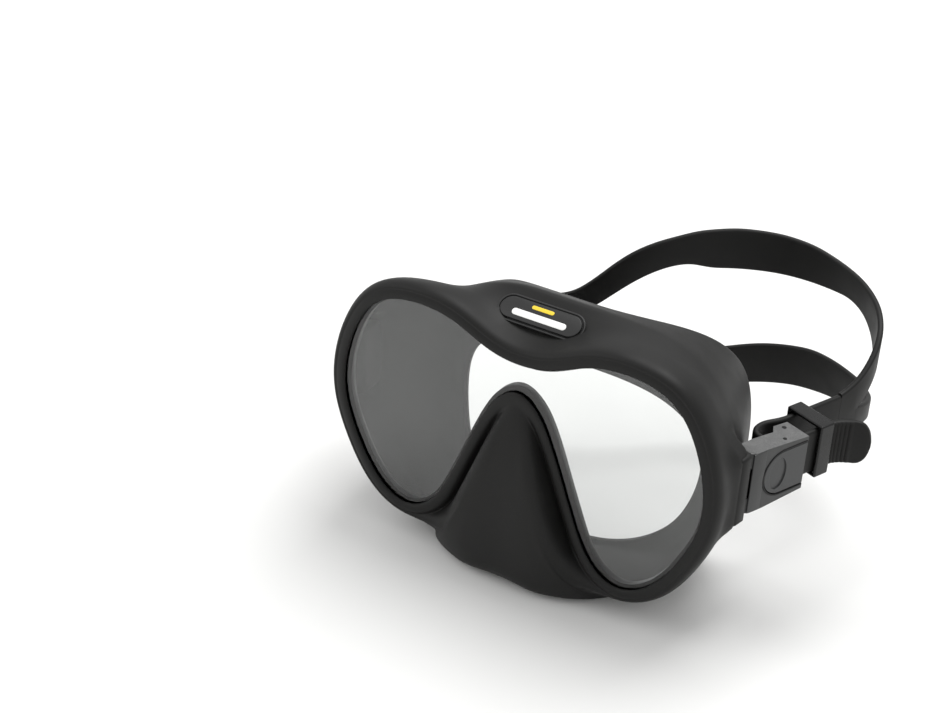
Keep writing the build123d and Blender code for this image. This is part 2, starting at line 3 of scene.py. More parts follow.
import logging
import math
from contextlib import contextmanager
from dataclasses import dataclass
from enum import Enum
from typing import Callable, Iterator, Optional, Sequence

import bmesh
import bpy
import numpy as np
from mathutils import Matrix, Vector

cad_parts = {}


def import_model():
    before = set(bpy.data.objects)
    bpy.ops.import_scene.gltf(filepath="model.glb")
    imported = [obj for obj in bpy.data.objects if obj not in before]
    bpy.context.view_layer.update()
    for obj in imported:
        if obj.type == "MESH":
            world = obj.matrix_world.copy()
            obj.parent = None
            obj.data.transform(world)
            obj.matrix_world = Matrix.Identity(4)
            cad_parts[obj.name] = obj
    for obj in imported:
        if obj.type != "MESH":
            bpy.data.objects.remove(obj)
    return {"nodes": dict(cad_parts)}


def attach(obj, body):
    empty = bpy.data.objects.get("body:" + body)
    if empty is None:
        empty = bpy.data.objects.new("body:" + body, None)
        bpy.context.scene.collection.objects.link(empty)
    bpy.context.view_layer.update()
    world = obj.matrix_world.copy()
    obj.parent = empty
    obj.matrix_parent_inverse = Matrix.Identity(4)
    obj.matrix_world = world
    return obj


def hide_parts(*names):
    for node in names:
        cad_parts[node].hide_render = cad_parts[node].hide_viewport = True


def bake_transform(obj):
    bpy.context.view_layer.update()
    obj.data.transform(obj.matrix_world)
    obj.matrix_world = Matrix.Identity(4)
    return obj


LOG = logging.getLogger("diving_mask")
MM = 0.001
MERGE = 0.02 * MM            # vertices nearer than this are one
SQUARE_EDGE = 0.9            # radians; edges that turn more are the box edges of a plate
Colour = tuple[float, float, float]
Place = tuple[float, float, float]


class Side(Enum):
    """The wearer's left is +X."""

    LEFT = 1
    RIGHT = -1

    @property
    def label(self) -> str:
        """Word used in the names of nodes and bodies."""
        return self.name.lower()


# ---------------------------------------------------------------- bench: modelling helpers


def deselect() -> None:
    """Leave object mode's selection empty."""
    if bpy.context.object and bpy.context.object.mode != "OBJECT":
        bpy.ops.object.mode_set(mode="OBJECT")
    bpy.ops.object.select_all(action="DESELECT")


def activate(piece: bpy.types.Object) -> None:
    """Make piece the only selected and the active object.

    Args:
        piece: object to select.
    """
    deselect()
    piece.select_set(True)
    bpy.context.view_layer.objects.active = piece


@contextmanager
def editing(piece: bpy.types.Object) -> Iterator[bmesh.types.BMesh]:
    """Edit mode on a piece, left again at the end.

    Args:
        piece: mesh object to edit.

    Yields:
        Its live mesh.
    """
    activate(piece)
    bpy.ops.object.mode_set(mode="EDIT")
    live = bmesh.from_edit_mesh(piece.data)
    yield live
    bpy.ops.object.mode_set(mode="OBJECT")


def select_where(live: bmesh.types.BMesh, mode: str, test: Callable) -> None:
    """Select only the elements that pass a test.

    Args:
        live: mesh in edit mode.
        mode: VERT, EDGE or FACE.
        test: called with each element.
    """
    bpy.ops.mesh.select_mode(type=mode)
    bpy.ops.mesh.select_all(action="DESELECT")
    elements = {"VERT": live.verts, "EDGE": live.edges, "FACE": live.faces}[mode]
    for element in [e for e in elements if test(e)]:
        element.select = True
    live.select_flush_mode()


def apply_modifier(piece: bpy.types.Object, kind: str, **settings: object) -> None:
    """Add a modifier and apply it.

    Args:
        piece: object that takes it.
        kind: modifier type.
        settings: the modifier's properties.
    """
    activate(piece)
    modifier = piece.modifiers.new(kind.title(), kind)
    for name, value in settings.items():
        setattr(modifier, name, value)
    bpy.ops.object.modifier_apply(modifier=modifier.name)


def subdivide(piece: bpy.types.Object, levels: int) -> None:
    """Apply a subdivision surface."""
    apply_modifier(piece, "SUBSURF", levels=levels, render_levels=levels)


def merge_close(piece: bpy.types.Object, distance: float = MERGE) -> None:
    """Merge doubles and turn all faces outwards.

    Args:
        piece: mesh object.
        distance: points nearer than this are merged, in metres.
    """
    with editing(piece):
        bpy.ops.mesh.select_all(action="SELECT")
        bpy.ops.mesh.remove_doubles(threshold=distance)
        bpy.ops.mesh.normals_make_consistent(inside=False)


def smooth(piece: bpy.types.Object, degrees: float = 35.0) -> None:
    """Smooth shading that keeps edges sharper than an angle."""
    activate(piece)
    bpy.ops.object.shade_smooth_by_angle(angle=math.radians(degrees))


def soften(piece: bpy.types.Object, width: float, segments: int = 3, degrees: float = 40.0) -> None:
    """Round every edge sharper than an angle, width in millimetres."""
    apply_modifier(piece, "BEVEL", width=width * MM, segments=segments, limit_method="ANGLE",
                   angle_limit=math.radians(degrees), use_clamp_overlap=True, miter_outer="MITER_ARC")


def boolean(piece: bpy.types.Object, other: bpy.types.Object, operation: str) -> None:
    """Join or cut piece with other, which is used up."""
    apply_modifier(piece, "BOOLEAN", object=other, operation=operation, solver="EXACT")
    bpy.data.objects.remove(other, do_unlink=True)


def join(pieces: Sequence[bpy.types.Object], name: str) -> bpy.types.Object:
    """Join pieces into one object.

    Args:
        pieces: mesh objects; the first takes in the others.
        name: name of the result and its mesh.

    Returns:
        The first piece.
    """
    deselect()
    for piece in pieces:
        piece.select_set(True)
    bpy.context.view_layer.objects.active = pieces[0]
    if len(pieces) > 1:
        bpy.ops.object.join()
    pieces[0].name = name
    pieces[0].data.name = name
    return pieces[0]


def prism(name: str, outline: Sequence[Vector], rise: Vector) -> bpy.types.Object:
    """Solid made by extruding a flat outline.

    Args:
        name: object's name.
        outline: corners in order, in metres.
        rise: extrusion, in metres.

    Returns:
        The closed solid, its place in its mesh.
    """
    deselect()
    bpy.ops.mesh.primitive_circle_add(vertices=len(outline), fill_type="NGON")
    piece = bpy.context.object
    piece.name = name
    for vertex, corner in zip(piece.data.vertices, outline):
        vertex.co = corner
    with editing(piece):
        bpy.ops.mesh.select_all(action="SELECT")
        bpy.ops.mesh.extrude_region_move(TRANSFORM_OT_translate={"value": rise})
        bpy.ops.mesh.select_all(action="SELECT")
        bpy.ops.mesh.normals_make_consistent(inside=False)
    return piece


def ring_shell(name: str, rings: Sequence[np.ndarray], closed: bool) -> bpy.types.Object:
    """Surface drawn ring by ring: a circle is placed and its edges are extruded to each next ring.

    Args:
        name: object's name.
        rings: arrays of as many points each, in metres.
        closed: whether the last ring joins the first; if not, the ends are capped.

    Returns:
        The shell with merged doubles and outward faces.
    """
    deselect()
    count = len(rings[0])
    bpy.ops.mesh.primitive_circle_add(vertices=count)
    piece = bpy.context.object
    piece.name = name
    with editing(piece) as live:
        station = live.verts.layers.int.new("station")
        live.verts.ensure_lookup_table()
        for i, vertex in enumerate(live.verts):
            vertex[station] = i
            vertex.co = rings[0][i]
    course = list(rings[1:]) + ([rings[0]] if closed else [])
    with editing(piece) as live:
        bpy.ops.mesh.select_mode(type="EDGE")
        bpy.ops.mesh.select_all(action="SELECT")
        if not closed:
            bpy.ops.mesh.edge_face_add()
        for ring in course:
            bpy.ops.mesh.extrude_edges_move()
            live = bmesh.from_edit_mesh(piece.data)
            station = live.verts.layers.int["station"]
            for vertex in (v for v in live.verts if v.select):
                vertex.co = ring[vertex[station]]
        if not closed:
            bpy.ops.mesh.edge_face_add()
        bmesh.update_edit_mesh(piece.data)
    merge_close(piece)
    return piece


def softened_copy(node: str, name: str, width: float, degrees: float = 30.0,
                  wide: Optional[Callable[[Vector], bool]] = None,
                  wide_width: float = 1.2) -> bpy.types.Object:
    """Copy of a CAD node with merged triangles and rounded edges.

    Args:
        node: CAD node's name.
        name: name of the copy.
        width: rounding in millimetres.
        degrees: edges sharper than this are rounded.
        wide: test of a point in metres; edges with both ends in it are rounded more.
        wide_width: rounding of those edges in millimetres.

    Returns:
        The copy, which isn't parented yet.
    """
    source = bpy.data.objects[node]
    piece = bpy.data.objects.new(name, source.data.copy())
    bpy.context.scene.collection.objects.link(piece)
    piece.data.materials.clear()
    merge_close(piece, MERGE / 2)
    with editing(piece):
        bpy.ops.mesh.select_all(action="SELECT")
        bpy.ops.mesh.dissolve_limited(angle_limit=math.radians(1.5))
    if wide:
        with editing(piece) as live:
            select_where(live, "EDGE", lambda e: all(wide(v.co) for v in e.verts) and e.is_manifold
                         and e.calc_face_angle(0) > SQUARE_EDGE)
            bpy.ops.mesh.bevel(offset=wide_width * MM, segments=4, clamp_overlap=True)
    soften(piece, width, degrees=degrees)
    smooth(piece, 40)
    apply_modifier(piece, "WEIGHTED_NORMAL", keep_sharp=True)
    return piece


# ---------------------------------------------------------------- curves


def spline(points: Sequence[Sequence[float]], step: float, closed: bool = False) -> np.ndarray:
    """Natural or periodic cubic through points, by chord length.

    Args:
        points: way points of any dimension; the first three columns set the length.
        step: distance between samples, or with closed the samples in each span.
        closed: whether the curve returns to its first point.

    Returns:
        Sampled points.
    """
    way = np.asarray(points, float)
    if closed:
        way = np.vstack([way, way[:1]])
    chords = np.linalg.norm(np.diff(way[:, :3], axis=0), axis=1)
    knots = np.concatenate([[0.0], np.cumsum(chords)])
    count = len(way)
    system, right = np.zeros((count, count)), np.zeros_like(way)
    for i in range(1, count - 1):
        system[i, i - 1:i + 2] = chords[i - 1], 2 * (chords[i - 1] + chords[i]), chords[i]
        right[i] = 6 * ((way[i + 1] - way[i]) / chords[i] - (way[i] - way[i - 1]) / chords[i - 1])
    if closed:
        system[0, [0, 1, -2]] = 2 * (chords[0] + chords[-1]), chords[0], chords[-1]
        right[0] = 6 * ((way[1] - way[0]) / chords[0] - (way[0] - way[-2]) / chords[-1])
        system[-1, [0, -1]] = 1, -1
        samples = np.concatenate([np.linspace(a, b, int(step), endpoint=False)
                                  for a, b in zip(knots[:-1], knots[1:])])
    else:
        system[0, 0] = system[-1, -1] = 1
        samples = np.linspace(0, knots[-1], max(2, round(knots[-1] / step) + 1))
    bend = np.linalg.solve(system, right)
    span = np.clip(np.searchsorted(knots, samples, side="right") - 1, 0, count - 2)
    length = chords[span][:, None]
    ahead = (knots[span + 1] - samples)[:, None]
    gone = (samples - knots[span])[:, None]
    return ((bend[span] * ahead**3 + bend[span + 1] * gone**3) / (6 * length)
            + (way[span] / length - bend[span] * length / 6) * ahead
            + (way[span + 1] / length - bend[span + 1] * length / 6) * gone)


def by_length(points: np.ndarray, shares: Sequence[float]) -> np.ndarray:
    """Points along a polyline.

    Args:
        points: the polyline's corners.
        shares: shares of its length, 0 to 1.

    Returns:
        One point for each share.
    """
    along = np.concatenate([[0.0], np.cumsum(np.linalg.norm(np.diff(points, axis=0), axis=1))])
    wanted = np.asarray(shares) * along[-1]
    return np.column_stack([np.interp(wanted, along, column) for column in points.T])


def smooth_step(value: np.ndarray, low: float, high: float) -> np.ndarray:
    """0 below low, 1 above high, smooth between."""
    share = np.clip((value - low) / (high - low), 0, 1)
    return share * share * (3 - 2 * share)


# ---------------------------------------------------------------- shader node groups


class Nodes:
    """Short way to place and link shader nodes in one tree."""

    def __init__(self, tree: bpy.types.NodeTree) -> None:
        """Work on tree."""
        self.tree = tree

    def add(self, kind: str, inputs: Optional[dict] = None, **settings: object) -> bpy.types.Node:
        """Place a node, set its properties and fill its inputs with values or other sockets.

        Args:
            kind: node type without the ShaderNode prefix.
            inputs: socket name or number to value or socket.
            settings: node properties.

        Returns:
            The node.
        """
        node = self.tree.nodes.new(kind if kind.startswith("Node") else "ShaderNode" + kind)
        for name, value in settings.items():
            setattr(node, name, value)
        for key, value in (inputs or {}).items():
            if isinstance(value, bpy.types.NodeSocket):
                self.tree.links.new(value, node.inputs[key])
            else:
                node.inputs[key].default_value = value
        return node

    def math(self, operation: str, *values: object) -> bpy.types.NodeSocket:
        """Result of a math node."""
        return self.add("Math", dict(enumerate(values)), operation=operation).outputs[0]

    def ramp(self, value: bpy.types.NodeSocket, low: float, high: float) -> bpy.types.NodeSocket:
        """Value mapped from low..high to 0..1 and clamped."""
        return self.add("MapRange", {"Value": value, "From Min": low, "From Max": high}).outputs["Result"]

    def mix(self, share: object, first: object, second: object) -> bpy.types.NodeSocket:
        """Colour mix.

        Args:
            share: 0 gives the first colour, 1 the second.
            first: colour or socket.
            second: colour or socket.

        Returns:
            The mixed colour's socket.
        """
        node = self.add("Mix", {"Factor": share}, data_type="RGBA")
        for socket, value in zip((node.inputs[6], node.inputs[7]), (first, second)):
            if isinstance(value, bpy.types.NodeSocket):
                self.tree.links.new(value, socket)
            else:
                socket.default_value = (*value, 1.0)
        return node.outputs[2]


def new_group(name: str, inputs: dict[str, float], outputs: Sequence[str]) -> tuple[Nodes, dict, dict]:
    """Empty shader group with float inputs and outputs.

    Args:
        name: group's name.
        inputs: names of the inputs and their defaults.
        outputs: names of the outputs.

    Returns:
        The tree's helper, its input sockets by name and its output node's sockets by name.
    """
    tree = bpy.data.node_groups.new(name, "ShaderNodeTree")
    for label, value in inputs.items():
        socket = tree.interface.new_socket(label, in_out="INPUT", socket_type="NodeSocketFloat")
        socket.default_value = value
    for label in outputs:
        tree.interface.new_socket(label, in_out="OUTPUT", socket_type="NodeSocketFloat")
    nodes = Nodes(tree)
    entry, leave = nodes.add("NodeGroupInput"), nodes.add("NodeGroupOutput")
    return nodes, {s.name: s for s in entry.outputs}, {s.name: s for s in leave.inputs}


class SurfaceEffects:
    """Node groups that several finishes share: moulded grain, handling smudges and fine scratches."""

    def __init__(self) -> None:
        """Build each group once."""
        self.grain = self._grain()
        self.smudge = self._smudge()
        self.scratch = self._scratch()

    @staticmethod
    def _grain() -> bpy.types.NodeTree:
        """Fine moulded texture: Cell in millimetres; gives Height and a Speck mask.

        Returns:
            The group.
        """
        nodes, give, take = new_group("moulded_grain", {"Cell": 0.6}, ("Height", "Speck"))
        place = nodes.add("TexCoord").outputs["Object"]
        scale = nodes.math("DIVIDE", 1000.0, give["Cell"])
        fine = nodes.add("TexNoise", {"Vector": place, "Scale": scale, "Detail": 3.0, "Roughness": 0.6})
        cells = nodes.add("TexVoronoi", {"Vector": place, "Scale": nodes.math("MULTIPLY", scale, 1.7)})
        pits = nodes.ramp(cells.outputs["Distance"], 0.1, 0.75)
        height = nodes.math("ADD", nodes.math("MULTIPLY", pits, 0.5),
                            nodes.math("MULTIPLY", fine.outputs[0], 0.5))
        nodes.tree.links.new(height, take["Height"])
        nodes.tree.links.new(nodes.ramp(fine.outputs[0], 0.42, 0.66), take["Speck"])
        return nodes.tree

    @staticmethod
    def _smudge() -> bpy.types.NodeTree:
        """Soft patches left by hands: Patch in millimetres; gives a Mask.

        Returns:
            The group.
        """
        nodes, give, take = new_group("handling_smudge", {"Patch": 18.0}, ("Mask",))
        place = nodes.add("TexCoord").outputs["Object"]
        scale = nodes.math("DIVIDE", 1000.0, give["Patch"])
        cloud = nodes.add("TexNoise", {"Vector": place, "Scale": scale, "Detail": 4.0, "Distortion": 0.6})
        nodes.tree.links.new(nodes.ramp(cloud.outputs[0], 0.38, 0.68), take["Mask"])
        return nodes.tree

    @staticmethod
    def _scratch() -> bpy.types.NodeTree:
        """Hairlines along one direction: Stretch says how long they are; gives Height and Mask.

        Returns:
            The group.
        """
        nodes, give, take = new_group("hairline_scratch", {"Stretch": 14.0}, ("Height", "Mask"))
        place = nodes.add("TexCoord").outputs["Object"]
        combine = nodes.add("CombineXYZ", {"X": nodes.math("DIVIDE", 2400.0, give["Stretch"]),
                                           "Y": nodes.math("DIVIDE", 2400.0, give["Stretch"]), "Z": 2400.0})
        drawn = nodes.add("VectorMath", {0: place, 1: combine.outputs[0]}, operation="MULTIPLY")
        lines = nodes.add("TexNoise", {"Vector": drawn.outputs[0], "Scale": 1.0, "Detail": 2.0})
        nodes.tree.links.new(lines.outputs[0], take["Height"])
        nodes.tree.links.new(nodes.ramp(lines.outputs[0], 0.56, 0.72), take["Mask"])
        return nodes.tree


# ---------------------------------------------------------------- finishes


@dataclass(frozen=True)
class Moulded:
    """Finish of a moulded rubber or plastic piece.

    Cell is the grain's size in millimetres, relief its height in millimetres, and bloom how much
    lighter the specks and the handled patches are.
    """

    name: str
    colour: Colour
    light: Colour
    roughness: float
    cell: float = 0.5
    relief: float = 0.012
    smudge: float = 18.0
    rough_spread: float = 0.1
    specular: float = 0.5

    def build(self, effects: SurfaceEffects) -> bpy.types.Material:
        """Material with grain, smudges and a slight colour change over the surface.

        Args:
            effects: shader groups to place in it.

        Returns:
            The material.
        """
        material, nodes, shader = new_material(self.name)
        grain = nodes.add("Group", node_tree=effects.grain)
        grain.inputs["Cell"].default_value = self.cell
        smudge = nodes.add("Group", node_tree=effects.smudge)
        smudge.inputs["Patch"].default_value = self.smudge
        share = nodes.math("MULTIPLY_ADD", grain.outputs["Speck"], 0.55,
                           nodes.math("MULTIPLY", smudge.outputs["Mask"], 0.45))
        link = nodes.tree.links.new
        link(nodes.mix(share, self.colour, self.light), shader.inputs["Base Color"])
        link(nodes.math("MULTIPLY_ADD", smudge.outputs["Mask"], self.rough_spread, self.roughness),
             shader.inputs["Roughness"])
        bump = nodes.add("Bump", {"Height": grain.outputs["Height"], "Strength": 1.0,
                                  "Distance": self.relief * MM})
        link(bump.outputs[0], shader.inputs["Normal"])
        shader.inputs["Specular IOR Level"].default_value = self.specular
        return material


@dataclass(frozen=True)
class Steel:
    """Ground stainless steel with hairlines."""

    name: str
    colour: Colour = (0.62, 0.61, 0.59)
    roughness: float = 0.26

    def build(self, effects: SurfaceEffects) -> bpy.types.Material:
        """Metal whose roughness and bump follow the hairlines.

        Args:
            effects: shader groups to place in it.

        Returns:
            The material.
        """
        material, nodes, shader = new_material(self.name)
        scratch = nodes.add("Group", node_tree=effects.scratch)
        shader.inputs["Metallic"].default_value = 1.0
        link = nodes.tree.links.new
        link(nodes.mix(scratch.outputs["Mask"], self.colour, tuple(0.8 * c for c in self.colour)),
             shader.inputs["Base Color"])
        link(nodes.math("MULTIPLY_ADD", scratch.outputs["Mask"], 0.18, self.roughness),
             shader.inputs["Roughness"])
        bump = nodes.add("Bump", {"Height": scratch.outputs["Height"], "Strength": 0.6,
                                  "Distance": 0.004 * MM})
        link(bump.outputs[0], shader.inputs["Normal"])
        return material


@dataclass(frozen=True)
class Glass:
    """Clear tempered glass with faint wipe marks."""

    name: str
    colour: Colour = (0.88, 0.895, 0.89)
    ior: float = 1.62

    def build(self, effects: SurfaceEffects) -> bpy.types.Material:
        """Transmitting material whose roughness follows the wipe marks.

        Args:
            effects: shader groups to place in it.

        Returns:
            The material.
        """
        material, nodes, shader = new_material(self.name)
        smudge = nodes.add("Group", node_tree=effects.smudge)
        smudge.inputs["Patch"].default_value = 30.0
        link = nodes.tree.links.new
        link(nodes.mix(smudge.outputs["Mask"], self.colour, tuple(0.98 * c for c in self.colour)),
             shader.inputs["Base Color"])
        link(nodes.math("MULTIPLY", smudge.outputs["Mask"], 0.004), shader.inputs["Roughness"])
        shader.inputs["Transmission Weight"].default_value = 1.0
        shader.inputs["IOR"].default_value = self.ior
        return material


def new_material(name: str) -> tuple[bpy.types.Material, Nodes, bpy.types.Node]:
    """Empty node material.

    Args:
        name: material's name.

    Returns:
        The material, its node helper and its Principled shader.
    """
    material = bpy.data.materials.new(name)
    material.use_nodes = True
    tree = material.node_tree
    shader = next(n for n in tree.nodes if n.type == "BSDF_PRINCIPLED")
    return material, Nodes(tree), shader


class Finish(Enum):
    """Every finish on the mask."""

    SILICONE = Moulded("black_silicone", (0.0042, 0.0041, 0.0038), (0.008, 0.0078, 0.0073), 0.5,
                       cell=0.45, relief=0.01, rough_spread=0.08, specular=0.26)
    STRAP = Moulded("strap_silicone", (0.0038, 0.0037, 0.0034), (0.007, 0.0068, 0.0064), 0.5,
                    cell=0.4, relief=0.01, smudge=12.0, specular=0.26)
    BADGE = Moulded("badge_rubber", (0.006, 0.006, 0.006), (0.010, 0.010, 0.010), 0.42,
                    cell=0.3, relief=0.006)
    YELLOW_INK = Moulded("badge_yellow", (0.80, 0.58, 0.02), (0.88, 0.66, 0.06), 0.42,
                         cell=0.3, relief=0.004)
    WHITE_INK = Moulded("badge_white", (0.80, 0.80, 0.78), (0.88, 0.88, 0.86), 0.42,
                        cell=0.3, relief=0.004)
    RING = Moulded("frame_plastic", (0.05, 0.053, 0.053), (0.08, 0.084, 0.084), 0.4,
                   cell=0.3, relief=0.004)
    BUCKLE = Moulded("buckle_plastic", (0.012, 0.0125, 0.013), (0.028, 0.029, 0.029), 0.34,
                     cell=0.28, relief=0.014, smudge=7.0, rough_spread=0.14)
    LEVER = Moulded("lever_plastic", (0.014, 0.015, 0.016), (0.028, 0.029, 0.03), 0.3,
                    cell=0.24, relief=0.008, smudge=6.0)
    # near-black plastic of the anchors and pin ends; on the lever's lip it is painted shade of the gap round
    # the lever
    ANCHOR = Moulded("anchor_plastic_and_gap_shade", (0.003, 0.003, 0.003), (0.006, 0.006, 0.006), 0.4,
                     cell=0.3, specular=0.2)
    # lighter copy of the buckle plastic for the housing's top faces: a painted highlight of light from above
    BUCKLE_LIT_TOP = Moulded("buckle_plastic_painted_light", (0.075, 0.076, 0.076), (0.15, 0.15, 0.148), 0.38,
                         cell=0.5, relief=0.01, smudge=3.0, rough_spread=0.16)
    GLOSS = Moulded("gloss_plastic", (0.004, 0.004, 0.004), (0.007, 0.007, 0.007), 0.22,
                    cell=0.8, relief=0.003, smudge=6.0, specular=0.3)
    STEEL = Steel("ground_steel")
    GLASS = Glass("tempered_glass")


class Paintbox:
    """Builds each finish once and dresses pieces with them."""

    def __init__(self) -> None:
        """Build the shared node groups and all finishes."""
        effects = SurfaceEffects()
        self.materials = {finish: finish.value.build(effects) for finish in Finish}

    def dress(self, piece: bpy.types.Object, finish: Finish) -> None:
        """Give the whole piece one finish."""
        piece.data.materials.clear()
        piece.data.materials.append(self.materials[finish])

    def dress_lit_top(self, piece: bpy.types.Object, finish: Finish) -> None:
        """Give a second, lighter finish to the highest faces that look up: painted light from above.

        Args:
            piece: piece that has its first finish.
            finish: the second finish.
        """
        piece.data.materials.append(self.materials[finish])
        with editing(piece) as live:
            top = max(v.co.z for v in live.verts)
            select_where(live, "FACE", lambda f: f.normal.z > 0.9
                         and f.calc_center_median().z > top - 3 * MM)
            piece.active_material_index = 1
            bpy.ops.object.material_slot_assign()

    def dress_node(self, node: bpy.types.Object, finish: Finish) -> None:
        """Give a CAD node a finish in its own slots.

        Args:
            finish: what it is made of.
        """
        if not node.material_slots:
            node.data.materials.append(self.materials[finish])
        for slot in node.material_slots:
            slot.material = self.materials[finish]


# ---------------------------------------------------------------- skirt


def mirrored(half: Sequence[Sequence[float]]) -> list[tuple[float, ...]]:
    """Closed outline from its +X half, whose ends are on the mid-plane."""
    return [tuple(p) for p in half] + [(-p[0], *p[1:]) for p in half[-2:0:-1]]


def grown(points: Sequence[Sequence[float]], amount: float) -> list[tuple[float, float]]:
    """Outline moved outwards.

    Args:
        points: closed outline (x, z).
        amount: distance in millimetres.

    Returns:
        As many points.
    """
    moved = []
    for i, (x, z) in enumerate(points):
        (ax, az), (bx, bz) = points[i - 1], points[(i + 1) % len(points)]
        length = math.hypot(bx - ax, bz - az)
        moved.append((x - (bz - az) / length * amount, z + (bx - ax) / length * amount))
    return moved


@dataclass
class Skirt:
    """Moulded silicone skirt: rim, nose pocket, walls, face flap and the two ears.

    Sizes are in millimetres, heights from the lens centre. Every ring has 17 stations from the brow
    dip round the +X lobe to the nose notch; stations 11 to 16 run down the nose pocket. Sub-steps of
    the rings double the stations, so a whole ring has 64 points.
    """

    lens_z: float = 66.0
    face_y: float = 36.0
    face_radius: float = 82.0
    wall: float = 2.3
    sole: float = -66.0
    sole_thick: float = 2.0
    flap_thick: float = 1.9
    edge_round: float = 0.4
    stations: int = 17
    nose_start: int = 10
    nose_first_ring: int = 3
    # offset from the opening and depth of the ring behind the rim, and the depth where the wall begins
    behind_rim: tuple[float, float] = (7.3, 6.4)
    wall_y: float = 24.0
    # offset and depth of the lens seat's rings, from inside the wall to the lip
    seat: tuple = ((4.4, 9.3), (3.7, 8.9), (2.9, 8.6), (2.9, 6.6), (2.9, 3.0), (2.9, -0.05))
    ear_reach: float = 83.2
    ear_middle: float = -2.0
    ear_half: float = 14.0
    ear_outline: tuple = ((72.5, 11), (78.5, 9.0), (82.8, 13), (83.6, 17.2), (82.8, 19.4), (79.6, 20.2),
                          (76.6, 23.2), (73, 23.6))
    socket_radius: float = 4.5
    opening: tuple = ((0, 27), (14, 29.5), (28, 36), (45, 38), (60, 33.5), (69.5, 20), (74.5, 2), (74, -13),
                      (68, -29), (58, -44.5), (46, -50.5), (36, -45.5), (28, -32), (20, -12), (13, 4.5),
                      (6.5, 13.5), (0, 16.5))
    # rim profile: offset from the opening and depth of each ring, lip to ridge
    profile: tuple = ((0.0, -0.1), (0.45, -1.3), (1.4, -1.75), (3.6, -1.45), (4.15, -1.0), (4.7, -1.3),
                      (5.7, -0.95), (6.7, 0.7), (7.15, 3.2))
    # nose stations of every ring from the lip's outer edge to the sole (x, z, y), lobe bottom to mid-plane:
    # lip edge, groove, foot and crest of the side ridge, then the pocket's front down to the sole
    nose_rings: tuple = (
        ((46, -54.1, -1.45), (32.3, -48.5, -1.3), (23.4, -33.9, -1.4), (15.7, -13.7, -1.5), (9.1, 2.5, -1.6),
         (4.4, 9.9, -1.7), (0, 12.3, -1.75)),
        ((46, -54.7, -1.0), (31.3, -49.3, 1.0), (22.2, -34.4, 3.0), (14.5, -14.2, 2.4), (8.2, 2.0, 0.4),
         (3.9, 9.1, -1.65), (0, 11.4, -1.8)),
        ((46, -55.2, -1.3), (30.8, -49.8, -0.4), (21.7, -34.9, -2.2), (14.0, -14.7, -2.0), (7.8, 1.5, -1.9),
         (3.6, 8.4, -2.0), (0, 10.5, -2.0)),
        ((46, -56.2, -0.95), (30.2, -50.6, -2.2), (21.2, -35.5, -6.2), (13.5, -15.3, -5.4), (7.4, 0.8, -3.7),
         (3.3, 7.4, -2.6), (0, 9.4, -2.3)),
        ((46, -57.2, 0.7), (29.2, -52.2, -3.4), (20.2, -36.6, -8.5), (12.6, -16.6, -7.7), (6.8, -0.8, -5.0),
         (3.0, 5.9, -3.3), (0, 7.9, -2.9)),
        ((46, -57.7, 3.2), (28.4, -54.2, -3.6), (18.9, -38.8, -9.2), (11.4, -19.2, -9.0), (6.0, -4.0, -6.4),
         (2.7, 3.2, -4.3), (0, 5.2, -3.8)),
        ((46.4, -59.2, 6.5), (30.4, -57.4, -1.6), (21.6, -45.6, -8.8), (13.2, -30.0, -10.0),
         (8.0, -16.5, -8.9), (3.8, -7.0, -7.0), (0, -4.0, -6.4)),
        ((47, -60.8, 11.0), (33.0, -60.0, 1.4), (25.4, -52.0, -6.4), (15.6, -42.5, -10.0),
         (9.6, -32.0, -10.2), (4.7, -24.0, -9.7), (0, -21.0, -9.3)),
        ((47.8, -62.8, 15.5), (35.2, -62.4, 4.2), (29.4, -57.6, -3.0), (17.4, -53.0, -9.0),
         (11.6, -48.5, -9.9), (5.8, -43.5, -9.9), (0, -41.5, -9.7)),
        ((48.6, -64.6, 19.5), (36.8, -64.4, 7.2), (32.6, -61.6, 0.4), (18.4, -60.8, -7.0),
         (12.6, -59.5, -8.4), (6.3, -57.5, -8.9), (0, -56.5, -8.9)),
        ((49.4, -65.9, 22.5), (37.8, -66, 10.0), (34.2, -65.9, 3.4), (18.2, -66, -4.6), (12.6, -66, -6.0),
         (6.2, -66, -6.4), (0, -66, -6.5)),
    )
    # outer wall at three depths, top to bottom mid-plane; the wearer's left side stands a little higher
    walls_left: tuple = (
        (24.0, ((0, 45), (18, 45), (36, 44.3), (52, 41.5), (65, 32), (74.5, 15), (76.5, -5), (73.5, -27),
                (65, -50), (50, -66), (22, -66), (0, -66))),
        (42.0, ((0, 36), (17, 36), (34, 37), (47, 36), (58, 31), (67.5, 17), (71.5, -7), (69, -30),
                (62, -50), (49, -66), (22, -66), (0, -66))),
        (70.0, ((0, 22), (14, 22), (28, 24), (40, 27), (51, 24), (59.5, 12), (62.5, -10), (61, -30),
                (55, -48), (45, -63), (20, -66), (0, -66))),
    )
    walls_right: tuple = (
        (24.0, ((0, 45), (18, 45), (27, 44), (31.8, 37.6), (40.5, 33.5), (52, 31.5), (65, 24.5), (74, 11),
                (76.5, -5), (73.5, -27), (65, -50), (50, -66), (22, -66), (0, -66))),
        (42.0, ((0, 36), (17, 36), (28, 35), (36, 30.5), (46, 25), (57, 17), (67, 3), (71.5, -10),
                (69, -30), (62, -50), (49, -66), (22, -66), (0, -66))),
        (70.0, ((0, 22), (14, 22), (28, 21), (40, 18), (51, 11), (59, 0), (62.5, -12), (61, -30), (55, -48),
                (45, -63), (20, -66), (0, -66))),
    )
    face_opening: tuple = ((0, 14), (22, 12), (40, 3), (50.5, -14), (51, -34), (43, -52), (28, -60),
                           (0, -61))
    # shares of the wall's and of the flap's width at which their rings lie
    wall_shares: tuple = (0.0, 0.33, 0.66, 0.92, 1.0)
    flap_shares: tuple = (0.07, 0.5, 0.95, 1.0)
    # shares of the way down the nose side at which its stations lie, and samples in each span
    nose_shares: tuple = (0.26, 0.48, 0.64, 0.76, 0.88, 1.0)
    span_samples: int = 24

